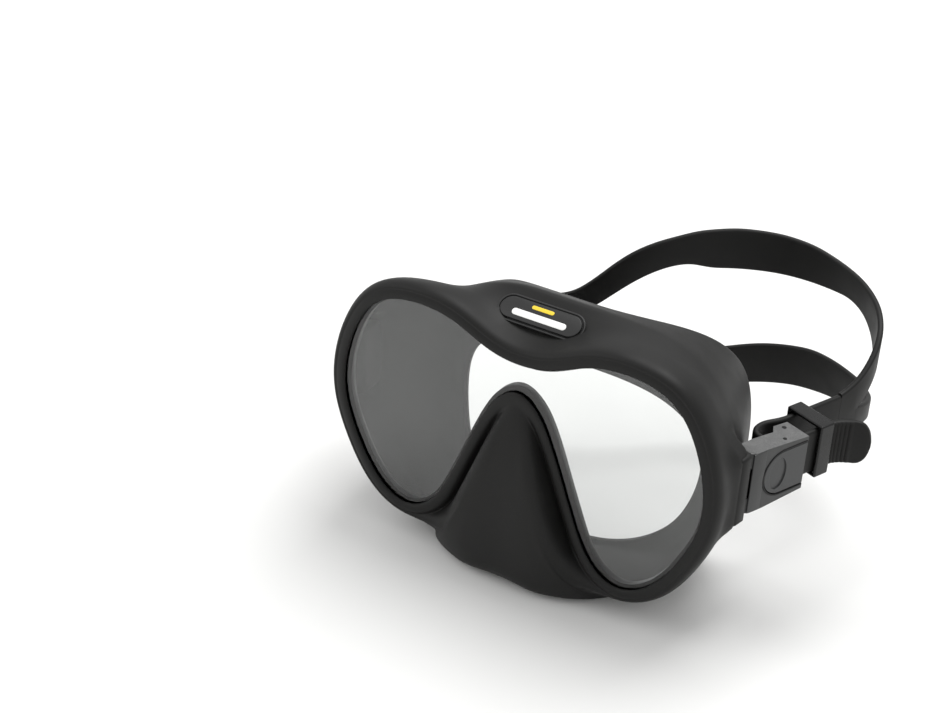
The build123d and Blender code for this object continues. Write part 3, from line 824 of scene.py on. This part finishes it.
    def face_at(self, x: float) -> float:
        """Depth of the face's surface at x."""
        return self.face_y + self.face_radius - math.sqrt(self.face_radius**2 - min(abs(x), 80.0)**2)

    def shares(self, half: Sequence, corner: int) -> np.ndarray:
        """Points of a half outline, matched to the opening's stations.

        Args:
            half: outline (x, z) from top to bottom mid-plane.
            corner: index of the outline point where the nose stations begin.

        Returns:
            Array of as many points as there are stations.
        """
        key = np.asarray(self.opening, float)[:self.nose_start + 1]
        lobe = np.concatenate([[0], np.cumsum(np.linalg.norm(np.diff(key, axis=0), axis=1))])
        per = self.span_samples
        dense = spline(mirrored(half), per, closed=True)[:(len(half) - 1) * per + 1]
        split = corner * per
        upper = by_length(dense[:split + 1], lobe / lobe[-1])
        lower = by_length(dense[split:], np.array(self.nose_shares))
        return np.vstack([upper, lower])

    def wall_at(self, side: Side, depth: np.ndarray) -> np.ndarray:
        """Wall points of one side's stations.

        Args:
            side: which side's wall.
            depth: depth y of every station.

        Returns:
            Points (x, z), one for each station.
        """
        walls = self.walls_left if side is Side.LEFT else self.walls_right
        levels = [w[0] for w in walls]
        drawn = np.array([self.shares(w[1], len(w[1]) - 3) for w in walls])
        points = np.empty((self.stations, 2))
        for k in range(self.stations):
            for axis in range(2):
                curve = np.polyfit(levels, drawn[:, k, axis], 2)
                points[k, axis] = np.polyval(curve, depth[k])
        points[:, 1] = np.maximum(points[:, 1], self.sole)
        return points

    def offset_ring(self, offset: float, depth: float) -> np.ndarray:
        """Half ring (x, y, z) that follows the opening at an offset and one depth."""
        outline = np.array(grown(mirrored(self.opening), offset))[:self.stations]
        return np.column_stack([outline[:, 0], np.full(self.stations, depth), outline[:, 1]])

    def half_rings(self, side: Side) -> list[np.ndarray]:
        """One side's outer surface.

        Args:
            side: which side.

        Returns:
            Rings of points (x, y, z), x outwards, from the seat's lip to the face edge.
        """
        rings = [self.offset_ring(offset, depth) for offset, depth in self.profile]
        start = self.nose_start
        targets = [np.array(r)[:, [0, 2, 1]] for r in self.nose_rings]
        for ring, target in zip(rings[self.nose_first_ring:], targets):
            ring[start:] = target
        below = targets[len(rings) - self.nose_first_ring:]
        back = self.wall_at(side, np.full(self.stations, self.wall_y))
        first = self.offset_ring(*self.behind_rim)
        for step, target in enumerate(below):
            share = (step + 1) / (len(below) + 0.6)
            ring = first.copy()
            ring[:, 0] += (back[:, 0] - first[:, 0]) * share
            ring[:, 2] += (back[:, 1] - first[:, 2]) * share
            ring[:, 1] += (self.wall_y - self.behind_rim[1]) * share
            ring[start:] = target
            rings.append(ring)
        for share in self.wall_shares:
            depth = np.full(self.stations, 40.0)
            for _ in range(6):                    # the face's depth follows from the edge that lies on it
                points = self.wall_at(side, self.wall_y + (depth - self.wall_y) * share)
                edge = self.wall_at(side, depth)
                depth = np.array([self.face_at(x) for x in edge[:, 0]])
            level = self.wall_y + (depth - self.wall_y) * share
            rings.append(np.column_stack([points[:, 0], level, points[:, 1]]))
        rings[-1][:, 1] -= self.edge_round
        return rings

    def rings(self) -> list[np.ndarray]:
        """All rings of the closed shell, in metres.

        Returns:
            Rings from the lip over the outside, round the flap and back inside to the seat.
        """
        outer = []
        for left, right in zip(self.half_rings(Side.LEFT), self.half_rings(Side.RIGHT)):
            across = right[-2:0:-1] * np.array([-1, 1, 1])
            outer.append(spline(np.vstack([left, across]), 2, closed=True))
        for ring in outer:
            ring[:, 2] = np.maximum(ring[:, 2], self.sole)
        edge = outer[-1]
        mouth = spline(mirrored(self.shares(self.face_opening, 5)), 2, closed=True)
        mouth = np.column_stack([mouth[:, 0], [self.face_at(x) for x in mouth[:, 0]], mouth[:, 1]])
        flap = []
        for share in self.flap_shares:
            ring = edge + (mouth - edge) * share
            ring[:, 1] = [self.face_at(x) for x in ring[:, 0]]
            flap.append(ring)
        under = [ring + np.array([0, -self.flap_thick, 0]) for ring in (flap[3], flap[2], flap[1])]
        inner = [self.inwards(outer, i) for i in range(len(outer) - 3, len(self.profile) - 1, -1)]
        seat = []
        for offset, depth in self.seat:
            points = spline(grown(mirrored(self.opening), offset), 2, closed=True)
            seat.append(np.column_stack([points[:, 0], np.full(len(points), depth), points[:, 1]]))
        course = outer + flap + under + inner + seat
        lift = np.array([0, 0, self.lens_z])
        return [(ring + lift) * MM for ring in course]

    def inwards(self, rings: Sequence[np.ndarray], index: int) -> np.ndarray:
        """Ring of the inner surface.

        Args:
            rings: the outer surface's whole rings.
            index: ring to start from.

        Returns:
            That ring moved inwards by the wall's thickness, kept over the sole.
        """
        ring = rings[index]
        along = np.roll(ring, -1, axis=0) - np.roll(ring, 1, axis=0)
        across = rings[min(index + 1, len(rings) - 1)] - rings[index - 1]
        normal = np.cross(along, across)
        normal /= np.linalg.norm(normal, axis=1)[:, None] + 1e-9
        middle = np.array([0, ring[:, 1].mean() + 10, ring[:, 2].mean()])
        if np.sum(normal * (ring - middle)) < 0:
            normal = -normal
        moved = ring - normal * self.wall
        moved[:, 2] = np.maximum(moved[:, 2], self.sole + self.sole_thick)
        return moved

    def swell_ears(self, piece: bpy.types.Object) -> None:
        """Push the wall out to the ears so that the rim flows into them.

        Args:
            piece: the skirt's mesh.
        """
        for vertex in piece.data.vertices:
            x, y, z = (c / MM for c in vertex.co)
            rise = abs(z - self.lens_z - self.ear_middle)
            share = float(smooth_step(np.array(-rise), -self.ear_half - 7, -self.ear_half + 1.5)
                          * smooth_step(np.array(y), 3.5, 12.0) * smooth_step(np.array(-y), -22.0, -17.5))
            if abs(x) > 70 and share > 0:
                reach = self.ear_reach - 0.9 - max(0.0, 12.0 - y) * 0.25
                vertex.co.x += math.copysign(max(0.0, reach - abs(x)) * share * MM, x)

    def ear(self, side: Side) -> bpy.types.Object:
        """Block that carries the buckle, with a rounded socket round the hinge.

        Args:
            side: which side's ear.

        Returns:
            The closed block.
        """
        hinge = BuckleFrame(side, 0.0).at(0.0, 0.0)
        low = self.lens_z + self.ear_middle - self.ear_half
        outline = [Vector((side.value * x, y, low)) * MM for x, y in self.ear_outline]
        block = prism(f"ear_{side.label}", outline, Vector((0, 0, 2 * self.ear_half * MM)))
        soften(block, 1.2, 4)
        deselect()
        bpy.ops.mesh.primitive_cylinder_add(vertices=48, radius=self.socket_radius * MM, depth=80 * MM,
                                            location=hinge)
        boolean(block, bpy.context.object, "DIFFERENCE")
        return block

    def build(self, paint: Paintbox) -> None:
        """Skirt mesh with its ears, replacing the CAD skirt.

        Args:
            paint: source of the finishes.
        """
        piece = ring_shell("skirt_moulded", self.rings(), closed=True)
        subdivide(piece, 2)
        self.swell_ears(piece)
        piece = join([piece] + [self.ear(side) for side in Side], "skirt_moulded")
        smooth(piece, 42)
        paint.dress(piece, Finish.SILICONE)
        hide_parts("skirt")
        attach(piece, "root")


# ---------------------------------------------------------------- badge


@dataclass
class Badge:
    """Plain capsule set into the brow, with two bare raised bars. Millimetres."""

    length: float = 35.0
    width: float = 11.0
    place_y: float = 13.0
    place_z: float = 106.6
    slope: float = 36.0
    proud: float = 0.9
    sunk: float = 1.6

    def on_brow(self, piece: bpy.types.Object) -> None:
        """Move a piece drawn flat at the origin onto the sloping brow."""
        turn = Matrix.Rotation(math.radians(self.slope), 4, "X")
        piece.data.transform(Matrix.Translation(Vector((0, self.place_y, self.place_z)) * MM) @ turn)

    def capsule(self, name: str, length: float, width: float, low: float, high: float,
                shift: float = 0.0) -> bpy.types.Object:
        """Flat capsule between two heights over the brow.

        Args:
            name: object's name.
            length: length over its round ends.
            width: width.
            low: lower height.
            high: upper height.
            shift: sideways place on the badge.

        Returns:
            The closed solid, drawn flat at the origin.
        """
        radius, straight = width / 2, (length - width) / 2
        outline = []
        for middle, start in ((straight, -90), (-straight, 90)):
            for step in range(25):
                angle = math.radians(start + 7.5 * step)
                x, y = middle + radius * math.cos(angle), radius * math.sin(angle) + shift
                outline.append(Vector((x, y, low)) * MM)
        return prism(name, outline, Vector((0, 0, (high - low) * MM)))

    def build(self, paint: Paintbox) -> None:
        """Capsule body with a grooved outline and its two bars.

        Args:
            paint: source of the finishes.
        """
        body = self.capsule("badge_body", self.length, self.width, -self.sunk, self.proud - 0.35)
        pad = self.capsule("badge_pad", self.length - 2.6, self.width - 2.6, -self.sunk + 0.2, self.proud)
        groove = self.capsule("badge_groove", self.length - 1.4, self.width - 1.4,
                              self.proud - 0.85, self.proud + 1)
        boolean(body, groove, "DIFFERENCE")
        body = join([body, pad], "brow_badge_moulded")
        soften(body, 0.3, 3)
        self.on_brow(body)
        smooth(body)
        paint.dress(body, Finish.BADGE)
        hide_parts("brow_badge")
        bars = (("badge_bar_long", 22.0, 2.6, -1.3, Finish.WHITE_INK),
                ("badge_bar_short", 9.0, 1.5, 2.3, Finish.YELLOW_INK))
        for name, length, width, shift, finish in bars:
            bar = self.capsule(name, length, width, self.proud - 0.2, self.proud + 0.12, shift)
            soften(bar, 0.08, 2)
            self.on_brow(bar)
            smooth(bar)
            paint.dress(bar, finish)
            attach(bar, "root")
        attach(body, "root")


# ---------------------------------------------------------------- buckles


@dataclass
class BuckleFrame:
    """Place of one buckle: u rearwards from its hinge, v outwards, w up. Millimetres."""

    side: Side
    flare: float
    hinge_x: float = 80.4
    hinge_y: float = 24.0
    hinge_z: float = 64.0

    def axes(self) -> tuple[np.ndarray, np.ndarray]:
        """Directions of u and v in the mask's frame."""
        s, c = math.sin(math.radians(self.flare)), math.cos(math.radians(self.flare))
        return np.array([self.side.value * s, c, 0.0]), np.array([self.side.value * c, -s, 0.0])

    def at(self, u: float, v: float, w: float = 0.0) -> np.ndarray:
        """Point in metres.

        Args:
            u: millimetres behind the hinge.
            v: outwards.
            w: up.

        Returns:
            The point in the mask's frame.
        """
        along, out = self.axes()
        hinge = np.array([self.side.value * self.hinge_x, self.hinge_y, self.hinge_z])
        return (hinge + along * u + out * v + np.array([0, 0, w])) * MM

    @property
    def body(self) -> str:
        """Name of the buckle's body."""
        return f"buckle_{self.side.label}"


@dataclass
class Buckle:
    """Housing, lever, keeper and small metal parts of one side, from rounded copies of the CAD nodes."""

    frame: BuckleFrame
    front_half: float = 12.5
    rear_half: float = 11.0
    taper_u: float = 5.0
    length: float = 25.5
    # lip round the lever's window: inner and outer radius, centre and rear end along u, and its v
    lip: tuple[float, float] = (8.97, 9.6)
    lip_middle: float = 13.1
    lip_rear: float = 24.2
    lip_v: tuple[float, float] = (3.3, 4.22)
    # plate over the hinge slot: its u, half height and v
    cover_u: tuple[float, float] = (-2.2, 4.0)
    cover_half: float = 12.3
    cover_v: tuple[float, float] = (3.55, 4.15)
    # u, v and radius of the cross pins whose ends show
    pins: tuple = ((20.5, -4.6, 0.9), (15.0, 1.3, 0.75))

    def plate(self, name: str, outline: Sequence[tuple[float, float]], low: float,
              high: float) -> bpy.types.Object:
        """Plate parallel to the outer face.

        Args:
            name: object's name.
            outline: corners (u, w).
            low: inner v.
            high: outer v.

        Returns:
            The closed solid.
        """
        corners = [Vector(self.frame.at(u, low, w)) for u, w in outline]
        _, out = self.frame.axes()
        return prism(name, corners, Vector(out) * (high - low) * MM)

    def outer_rim(self, point: Vector) -> bool:
        """True on the top and bottom edges of the housing's outer face.

        Args:
            point: middle of an edge, in metres.

        Returns:
            Whether it takes the wide bevel.
        """
        _, out = self.frame.axes()
        from_hinge = np.array(point) / MM - np.array([self.frame.side.value * self.frame.hinge_x,
                                                      self.frame.hinge_y, self.frame.hinge_z])
        return from_hinge @ out > 3.9 and abs(from_hinge[2]) > self.rear_half - 0.1

    def window_edge(self, radius: float) -> list[tuple[float, float]]:
        """D-shaped line (u, w) round the lever's window, open to the rear.

        Args:
            radius: radius of the D's round side.

        Returns:
            Points from its upper rear end to the lower one.
        """
        line = [(self.lip_rear, radius)]
        for step in range(25):
            angle = math.radians(90 + 7.5 * step)
            line.append((self.lip_middle + radius * math.cos(angle), radius * math.sin(angle)))
        return line + [(self.lip_rear, -radius)]

    def lever_surround(self) -> bpy.types.Object:
        """Raised lip round the lever's window, near black as painted shade of the gap between lever and
        housing.

        Returns:
            The lip, ready for its finish.
        """
        inner, outer = (self.window_edge(radius) for radius in self.lip)
        piece = self.plate(f"lever_surround_{self.frame.side.label}", outer + inner[::-1], *self.lip_v)
        soften(piece, 0.12, 2)
        smooth(piece)
        return piece

    def hinge_cover(self) -> bpy.types.Object:
        """Plate that closes the slot at the front of the outer face.

        Returns:
            The plate, ready to join the housing.
        """
        (front, rear), half = self.cover_u, self.cover_half
        piece = self.plate("hinge_cover", [(front, -half), (rear, -half), (rear, half), (front, half)],
                           *self.cover_v)
        soften(piece, 0.35)
        smooth(piece)
        return piece

    def pin_ends(self) -> bpy.types.Object:
        """Ends of the cross pins, just proud of the top and bottom faces, as one piece.

        Returns:
            The piece, its place in its mesh.
        """
        caps = []
        for u, v, radius in self.pins:
            narrowing = self.front_half - self.rear_half
            narrowing = narrowing * (u - self.taper_u) / (self.length - self.taper_u)
            rise = self.front_half - narrowing
            for sign in (1, -1):
                deselect()
                bpy.ops.mesh.primitive_cylinder_add(vertices=24, radius=radius * MM, depth=0.5 * MM,
                                                    location=self.frame.at(u, v, sign * (rise - 0.1)))
                caps.append(bpy.context.object)
        piece = join(caps, f"pin_ends_{self.frame.side.label}")
        bpy.ops.object.transform_apply(location=True, rotation=True, scale=True)
        soften(piece, 0.12, 2)
        smooth(piece)
        return piece

    def build(self, paint: Paintbox) -> None:
        """Dress or replace every node of this side's buckle.

        Args:
            paint: source of the finishes.
        """
        label, body = self.frame.side.label, self.frame.body
        soft = ((f"buckle_housing_{label}", 0.5, Finish.BUCKLE, body, "buckle_plastic"),
                (f"release_lever_{label}", 0.45, Finish.LEVER, f"lever_{label}", "lever_plastic"),
                (f"strap_keeper_{label}", 0.8, Finish.GLOSS, f"keeper_{label}", "keeper_plastic"),
                (f"ear_anchor_{label}", 0.35, Finish.ANCHOR, "root", "buckle_plastic"),
                (f"strap_roller_{label}", 0.3, Finish.GLOSS, f"roller_{label}", "roller_plastic"),
                (f"roller_pin_{label}", 0.15, Finish.STEEL, body, "stainless_steel"),
                (f"lever_pin_{label}", 0.15, Finish.STEEL, body, "stainless_steel"),
                (f"hinge_pin_{label}", 0.2, Finish.STEEL, "root", "stainless_steel"))
        for node, width, finish, rider, slot in soft:
            housing = node.startswith("buckle_housing")
            piece = softened_copy(node, f"{node}_finished", width, wide=self.outer_rim if housing else None)
            if housing:
                piece = join([piece, self.hinge_cover()], piece.name)
            paint.dress(piece, finish)
            # the housing's upward top faces take a lighter finish, a painted highlight of light from above
            if housing:
                paint.dress_lit_top(piece, Finish.BUCKLE_LIT_TOP)
            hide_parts(node)
            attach(piece, rider)
        lip = self.lever_surround()
        # near-black finish on the lip: painted shade of the gap round the lever
        paint.dress(lip, Finish.ANCHOR)
        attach(lip, body)
        cap = self.pin_ends()
        paint.dress(cap, Finish.ANCHOR)
        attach(cap, body)
        paint.dress_node(bpy.data.objects[f"lever_spring_{label}"], Finish.STEEL)


# ---------------------------------------------------------------- strap


def strap_ring(point: np.ndarray, out: np.ndarray, half: float, low: float, high: float) -> np.ndarray:
    """Rounded section of the strap at a point, in millimetres.

    Args:
        point: middle of the thickness at height 0.
        out: level unit vector across the thickness.
        half: half thickness.
        low: lower edge.
        high: upper edge.

    Returns:
        20 points round the section.
    """
    corner = min(0.85 * half, (high - low) / 2.2)
    ring = []
    for a, b, start in ((half, high, 0), (-half, high, 90), (-half, low, 180), (half, low, 270)):
        middle_a, middle_b = a - math.copysign(corner, a), (high - corner if b == high else low + corner)
        for step in range(5):
            angle = math.radians(start + 22.5 * step)
            ring.append(point + out * (middle_a + corner * math.cos(angle))
                        + np.array([0, 0, middle_b + corner * math.sin(angle)]))
    return np.array(ring)


def level_normals(points: np.ndarray) -> np.ndarray:
    """Level unit normals of a plan curve.

    Args:
        points: samples (x, y).

    Returns:
        Vectors (x, y, 0) to the right of the curve's direction.
    """
    tangent = np.gradient(points, axis=0)
    tangent /= np.linalg.norm(tangent, axis=1)[:, None]
    return np.column_stack([tangent[:, 1], -tangent[:, 0], np.zeros(len(points))])


@dataclass
class StrapArm:
    """Strap through one buckle: loose run from the back band, loop round the roller and ribbed tail."""

    frame: BuckleFrame
    route: Sequence[tuple[float, float]]
    cut: float
    split_u: float = 30.0
    half_thick: float = 1.2
    half_width: float = 9.0
    step: float = 0.42
    tab: float = 6.5
    ribs: int = 5
    rib_pitch: float = 1.7
    rib_height: float = 0.5
    tip_power: float = 2.6
    # two points are set on the run at these distances past split_u and short of cut
    bend_ends: tuple[float, float] = (9.0, 2.4)
    thin_end: tuple[float, float] = (0.8, 0.5)     # length and loss of half thickness
    rib_gap: float = 0.6                           # plain length between tip and ribs
    run_every: int = 3                             # the straight run keeps every third sample

    def sections(self) -> tuple[np.ndarray, np.ndarray]:
        """Samples (u, v) along the route and their distance from its start.

        Returns:
            The samples, and their distances.
        """
        line = spline([(u, v, 0.0) for u, v in self.route], self.step)[:, :2]
        line = line[np.hypot(line[:, 0], line[:, 1]) < self.cut]
        along = np.concatenate([[0.0], np.cumsum(np.linalg.norm(np.diff(line, axis=0), axis=1))])
        return line, along

    def sweep(self, name: str, line: np.ndarray, halves: np.ndarray, thick: np.ndarray) -> bpy.types.Object:
        """Closed sweep of the strap's section.

        Args:
            name: object's name.
            line: samples (u, v).
            halves: half width at each.
            thick: half thickness at each.

        Returns:
            The sweep, its place in its mesh.
        """
        points = np.array([self.frame.at(u, v) for u, v in line]) / MM
        normals = level_normals(points[:, :2])
        rings = [strap_ring(p, n, t, -h, h) * MM for p, n, h, t in zip(points, normals, halves, thick)]
        piece = ring_shell(name, rings, closed=False)
        smooth(piece, 50)
        return piece

    def build(self, paint: Paintbox) -> None:
        """Loose run between the band and the buckle, and the rest that goes with the buckle.

        Args:
            paint: source of the finishes.
        """
        label = self.frame.side.label
        line, along = self.sections()
        turn = int(np.argmax(line[:, 0] < self.split_u))
        run = line[:turn + 2][::self.run_every]
        loose = self.sweep(f"strap_run_{label}", run, np.full(len(run), self.half_width),
                           np.full(len(run), self.half_thick))
        near = self.frame.at(self.split_u + self.bend_ends[0], run[0][1])
        far = self.frame.at(self.cut - self.bend_ends[1], run[0][1])
        rest, far_along = line[turn:], along[-1] - along[turn:]
        halves = np.full(len(rest), self.half_width)
        tip = far_along < self.tab
        rounding = np.maximum(1 - ((self.tab - far_along[tip]) / self.tab)**self.tip_power, 0.02)
        halves[tip] = np.sqrt(rounding) * self.half_width
        thick = np.full(len(rest), self.half_thick)
        place = (far_along - self.tab - self.rib_gap) / self.rib_pitch
        ribbed = (place > 0) & (place < self.ribs)
        thick[ribbed] += self.rib_height * np.maximum(np.sin(np.pi * (place[ribbed] % 1.0)), 0)**0.7
        thick[far_along < self.thin_end[0]] -= self.thin_end[1]
        tail = self.sweep(f"strap_loop_{label}", rest, halves, thick)
        for piece in (loose, tail):
            paint.dress(piece, Finish.STRAP)
            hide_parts(f"strap_arm_{label}")
        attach(tail, self.frame.body)
        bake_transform(loose)


# way of each arm (u, v): from the back band, round the roller and back along the outer face
LEFT_ROUTE = ((64, -12), (56, -12), (48, -12), (42, -12), (36, -12), (30, -12), (26, -12.5), (21.5, -13.6),
              (16.6, -13.2), (13.2, -10.4), (13.2, -6.4), (16, -2.9), (20, -1.1), (25, -0.4), (30, -0.4),
              (36, -0.4), (42, -0.3), (46, 1.3), (50, 4.7), (53, 9))
RIGHT_ROUTE = ((46, -9.6), (40, -9.6), (34, -9.6), (28, -9.4), (23, -8.9), (19, -8), (17, -5.2),
               (18.2, -2.3), (21.5, -1), (26, -0.4), (31, -0.4), (39, -0.4))


@dataclass
class BackBand:
    """Back band that forks into an upper and a lower band. Heights are over the hinge middle."""

    left: BuckleFrame
    right: BuckleFrame
    start: tuple[float, float] = (57.0, -12.0)
    end: tuple[float, float] = (38.6, -9.6)
    half_thick: float = 1.17
    step: float = 1.6
    blur: int = 4
    route: tuple = ((93.3, 88.3), (94.8, 96), (94.5, 104.5), (91.2, 114), (84, 124), (71, 134), (54, 140),
                    (37, 139.5), (21, 133), (7, 122.5), (-7, 110.5), (-21, 101), (-36, 95.5), (-51, 91.5),
                    (-64, 85), (-71.5, 76.5))
    near_x: float = 50.0         # the plan turns back over itself beyond this x
    far_x: float = -63.5         # the far keys begin at this x
    # edges as near (y, height), rear (x, height) and far (y, height)
    upper_top: tuple = (
        ((50, 9), (79, 9.2), (85, 10.8), (91, 13.6), (98, 18), (105, 22.6), (112, 26.2), (120, 29),
         (130, 31.5), (138, 33.5)),
        ((54, 35), (40, 36), (22, 36.3), (9, 35), (-3, 31), (-9.6, 27.5), (-16, 22), (-23, 14),
         (-30, 7), (-37, 4), (-46, 3.2), (-60, 3)),
        ((84, 2.5), (77, 2.8), (70, 5.6), (62, 9)),
    )
    upper_bottom: tuple = (
        ((50, -2), (86, -2), (91, -1), (95, 2), (100, 5.5), (106, 9), (114, 13), (121, 16.5),
         (127, 19.5), (133, 21), (138, 19.8)),
        ((54, 19.2), (30, 18.5), (14, 18.3), (8, 20.6), (2.7, 20), (-3, 17.8), (-9.6, 13.4),
         (-16, 7.4), (-23, 0.5), (-29, -4), (-32, -6), (-38, -8), (-60, -8)),
        ((84, -8), (77, -6), (70, -2), (62, -2)),
    )
    lower_top: tuple = (
        ((50, 2), (86, 2), (91, 1), (95, -0.5), (100, -2), (106, -3.5), (118, -7), (130, -9),
         (139, -10)),
        ((54, -11.2), (37, -14.6), (22, -18.7), (14, -19.6), (0, -18.5), (-15, -14.5), (-29, -8),
         (-32, -6), (-38, -4), (-60, -4)),
        ((84, -4), (77, -3), (70, 2), (62, 2)),
    )
    lower_bottom: tuple = (
        ((50, -9), (84, -9), (100, -10.5), (112, -14), (122, -19.5), (132, -24.5), (138, -27.5)),
        ((54, -29.3), (44, -31.4), (30, -34.8), (15, -36.5), (0, -35), (-15, -29.5), (-30, -22.5),
         (-46, -17.5), (-62, -15.2)),
        ((84, -15), (77, -14.5), (70, -12), (62, -9)),
    )

    def plan(self) -> np.ndarray:
        """Plan curve (x, y) in millimetres.

        Returns:
            Samples from the left buckle to the right.
        """
        way = [self.left.at(u, self.start[1]) / MM for u in (self.start[0], self.start[0] + 3.5)]
        way += [np.array([x, y, 0.0]) for x, y in self.route]
        way += [self.right.at(u, self.end[1]) / MM for u in (46.0, self.end[0])]
        flat = [(p[0], p[1], 0.0) for p in way]
        return spline(flat, self.step)[:, :2]

    def edge(self, plan: np.ndarray, keys: tuple) -> np.ndarray:
        """Height of an edge along the plan.

        Args:
            plan: samples (x, y).
            keys: the edge's near, rear and far key heights.

        Returns:
            One height for each sample, slightly blurred.
        """
        near, rear, far = keys
        split = int(np.argmax(plan[:, 1]))
        turn = int(np.argmax(plan[:, 0] < self.far_x))
        place = np.arange(len(plan), dtype=float)
        stations, heights = [], []
        for y, height in near:
            if y <= plan[split, 1]:
                stations.append(np.interp(y, plan[:split, 1], place[:split]))
                heights.append(height)
        for x, height in rear:
            part = slice(split // 2, turn + 2) if x < self.near_x else slice(split - 4, turn)
            stations.append(np.interp(-x, -plan[part, 0], place[part]))
            heights.append(height)
        for y, height in far:
            stations.append(np.interp(-y, -plan[turn:, 1], place[turn:]))
            heights.append(height)
        order = np.argsort(stations)
        line = np.interp(place, np.array(stations)[order], np.array(heights)[order])
        padded = np.pad(line, self.blur, mode="edge")
        kernel = np.hanning(2 * self.blur + 3)[1:-1]
        return np.convolve(padded, kernel / kernel.sum(), mode="valid")

    def build(self, paint: Paintbox) -> None:
        """Both bands as one closed mesh.

        Args:
            paint: source of the finishes.
        """
        plan = self.plan()
        normals = level_normals(plan)
        bands = []
        for name, top, bottom in (("band_upper", self.upper_top, self.upper_bottom),
                                  ("band_lower", self.lower_top, self.lower_bottom)):
            high, low = self.edge(plan, top), self.edge(plan, bottom)
            rings = [strap_ring(np.array([x, y, self.left.hinge_z]), n, self.half_thick, b, t) * MM
                     for (x, y), n, t, b in zip(plan, normals, high, low)]
            bands.append(ring_shell(name, rings, closed=False))
        band, lower = bands
        boolean(band, lower, "UNION")
        band.name = band.data.name = "strap_back_moulded"
        merge_close(band, 0.002 * MM)
        smooth(band, 50)
        paint.dress(band, Finish.STRAP)
        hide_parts("strap_back")
        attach(band, "root")


# ---------------------------------------------------------------- light and camera


@dataclass
class Studio:
    """Pale floor, soft lights and the camera. Metres and degrees."""

    camera_at: Place = (0.25626, -0.46399, 0.40760)
    azimuth: float = 30.644
    elevation: float = 30.485
    roll: float = -2.872
    focal: float = 66.3
    sensor: float = 36.0
    sky_strength: float = 0.85
    # name, place, target, edge length and watts
    lights: tuple = (("key", (0.1, 0.55, 1.5), (0, 0, 0), 0.9, 16),
                     ("fill", (-1.2, -0.9, 1.1), (0, 0.02, 0.05), 0.9, 5))

    def floor(self) -> None:
        """Plain matt floor under the mask."""
        deselect()
        bpy.ops.mesh.primitive_plane_add(size=6.0, location=(0, 0, -0.0002))
        floor = bpy.context.object
        floor.name = "studio_floor"
        material, _, shader = new_material("studio_floor")
        shader.inputs["Base Color"].default_value = (0.80, 0.80, 0.79, 1)
        shader.inputs["Roughness"].default_value = 0.7
        floor.data.materials.append(material)

    def light(self, name: str, place: Place, target: Place, size: float, power: float) -> None:
        """Square area light aimed at a point.

        Args:
            name: lamp's name.
            place: where it stands.
            target: what it lights.
            size: edge length.
            power: watts.
        """
        data = bpy.data.lights.new(name, "AREA")
        data.size, data.energy = size, power
        lamp = bpy.data.objects.new(name, data)
        bpy.context.scene.collection.objects.link(lamp)
        lamp.location = place
        lamp.rotation_euler = (Vector(target) - Vector(place)).to_track_quat("-Z", "Y").to_euler()

    def camera(self) -> None:
        """Camera that sees the mask from its front left, above."""
        az, el, roll = (math.radians(a) for a in (self.azimuth, self.elevation, self.roll))
        back = Vector((math.sin(az) * math.cos(el), -math.cos(az) * math.cos(el), math.sin(el)))
        right = Vector((math.cos(az), math.sin(az), 0))
        up = back.cross(right)
        turned_right = right * math.cos(roll) - up * math.sin(roll)
        turned_up = right * math.sin(roll) + up * math.cos(roll)
        data = bpy.data.cameras.new("camera")
        data.lens, data.sensor_width, data.clip_end = self.focal, self.sensor, 20
        camera = bpy.data.objects.new("camera", data)
        bpy.context.scene.collection.objects.link(camera)
        turn = Matrix((turned_right, turned_up, back)).transposed().to_4x4()
        camera.matrix_world = Matrix.Translation(self.camera_at) @ turn
        bpy.context.scene.camera = camera

    def build(self) -> None:
        """Set the stage."""
        self.floor()
        world = bpy.data.worlds.new("studio")
        world.use_nodes = True
        sky = world.node_tree.nodes["Background"]
        sky.inputs["Color"].default_value = (1, 1, 1, 1)
        sky.inputs["Strength"].default_value = self.sky_strength
        bpy.context.scene.world = world
        for lamp in self.lights:
            self.light(*lamp)
        self.camera()
        bpy.context.scene.view_settings.view_transform = "Standard"


def main() -> None:
    """Build the whole mask round its frame."""
    logging.basicConfig(level=logging.INFO)
    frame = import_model()
    LOG.info("frame has %d nodes", len(frame["nodes"]))
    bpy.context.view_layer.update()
    paint = Paintbox()
    LOG.info("%d finishes ready", len(paint.materials))
    left, right = BuckleFrame(Side.LEFT, 22.0), BuckleFrame(Side.RIGHT, 4.0)
    Skirt().build(paint)
    paint.dress_node(frame["nodes"]["lens"], Finish.GLASS)
    paint.dress_node(frame["nodes"]["lens_frame"], Finish.RING)
    LOG.info("skirt, lens and its ring dressed")
    Badge().build(paint)
    for buckle in (left, right):
        Buckle(buckle).build(paint)
        LOG.info("%s buckle dressed", buckle.side.label)
    StrapArm(left, LEFT_ROUTE, 58.4, 36.0).build(paint)
    StrapArm(right, RIGHT_ROUTE, 40.4, 31.0, tab=3.0, ribs=1).build(paint)
    BackBand(left, right).build(paint)
    LOG.info("strap dressed")
    Studio().build()


if __name__ == "__main__":
    main()
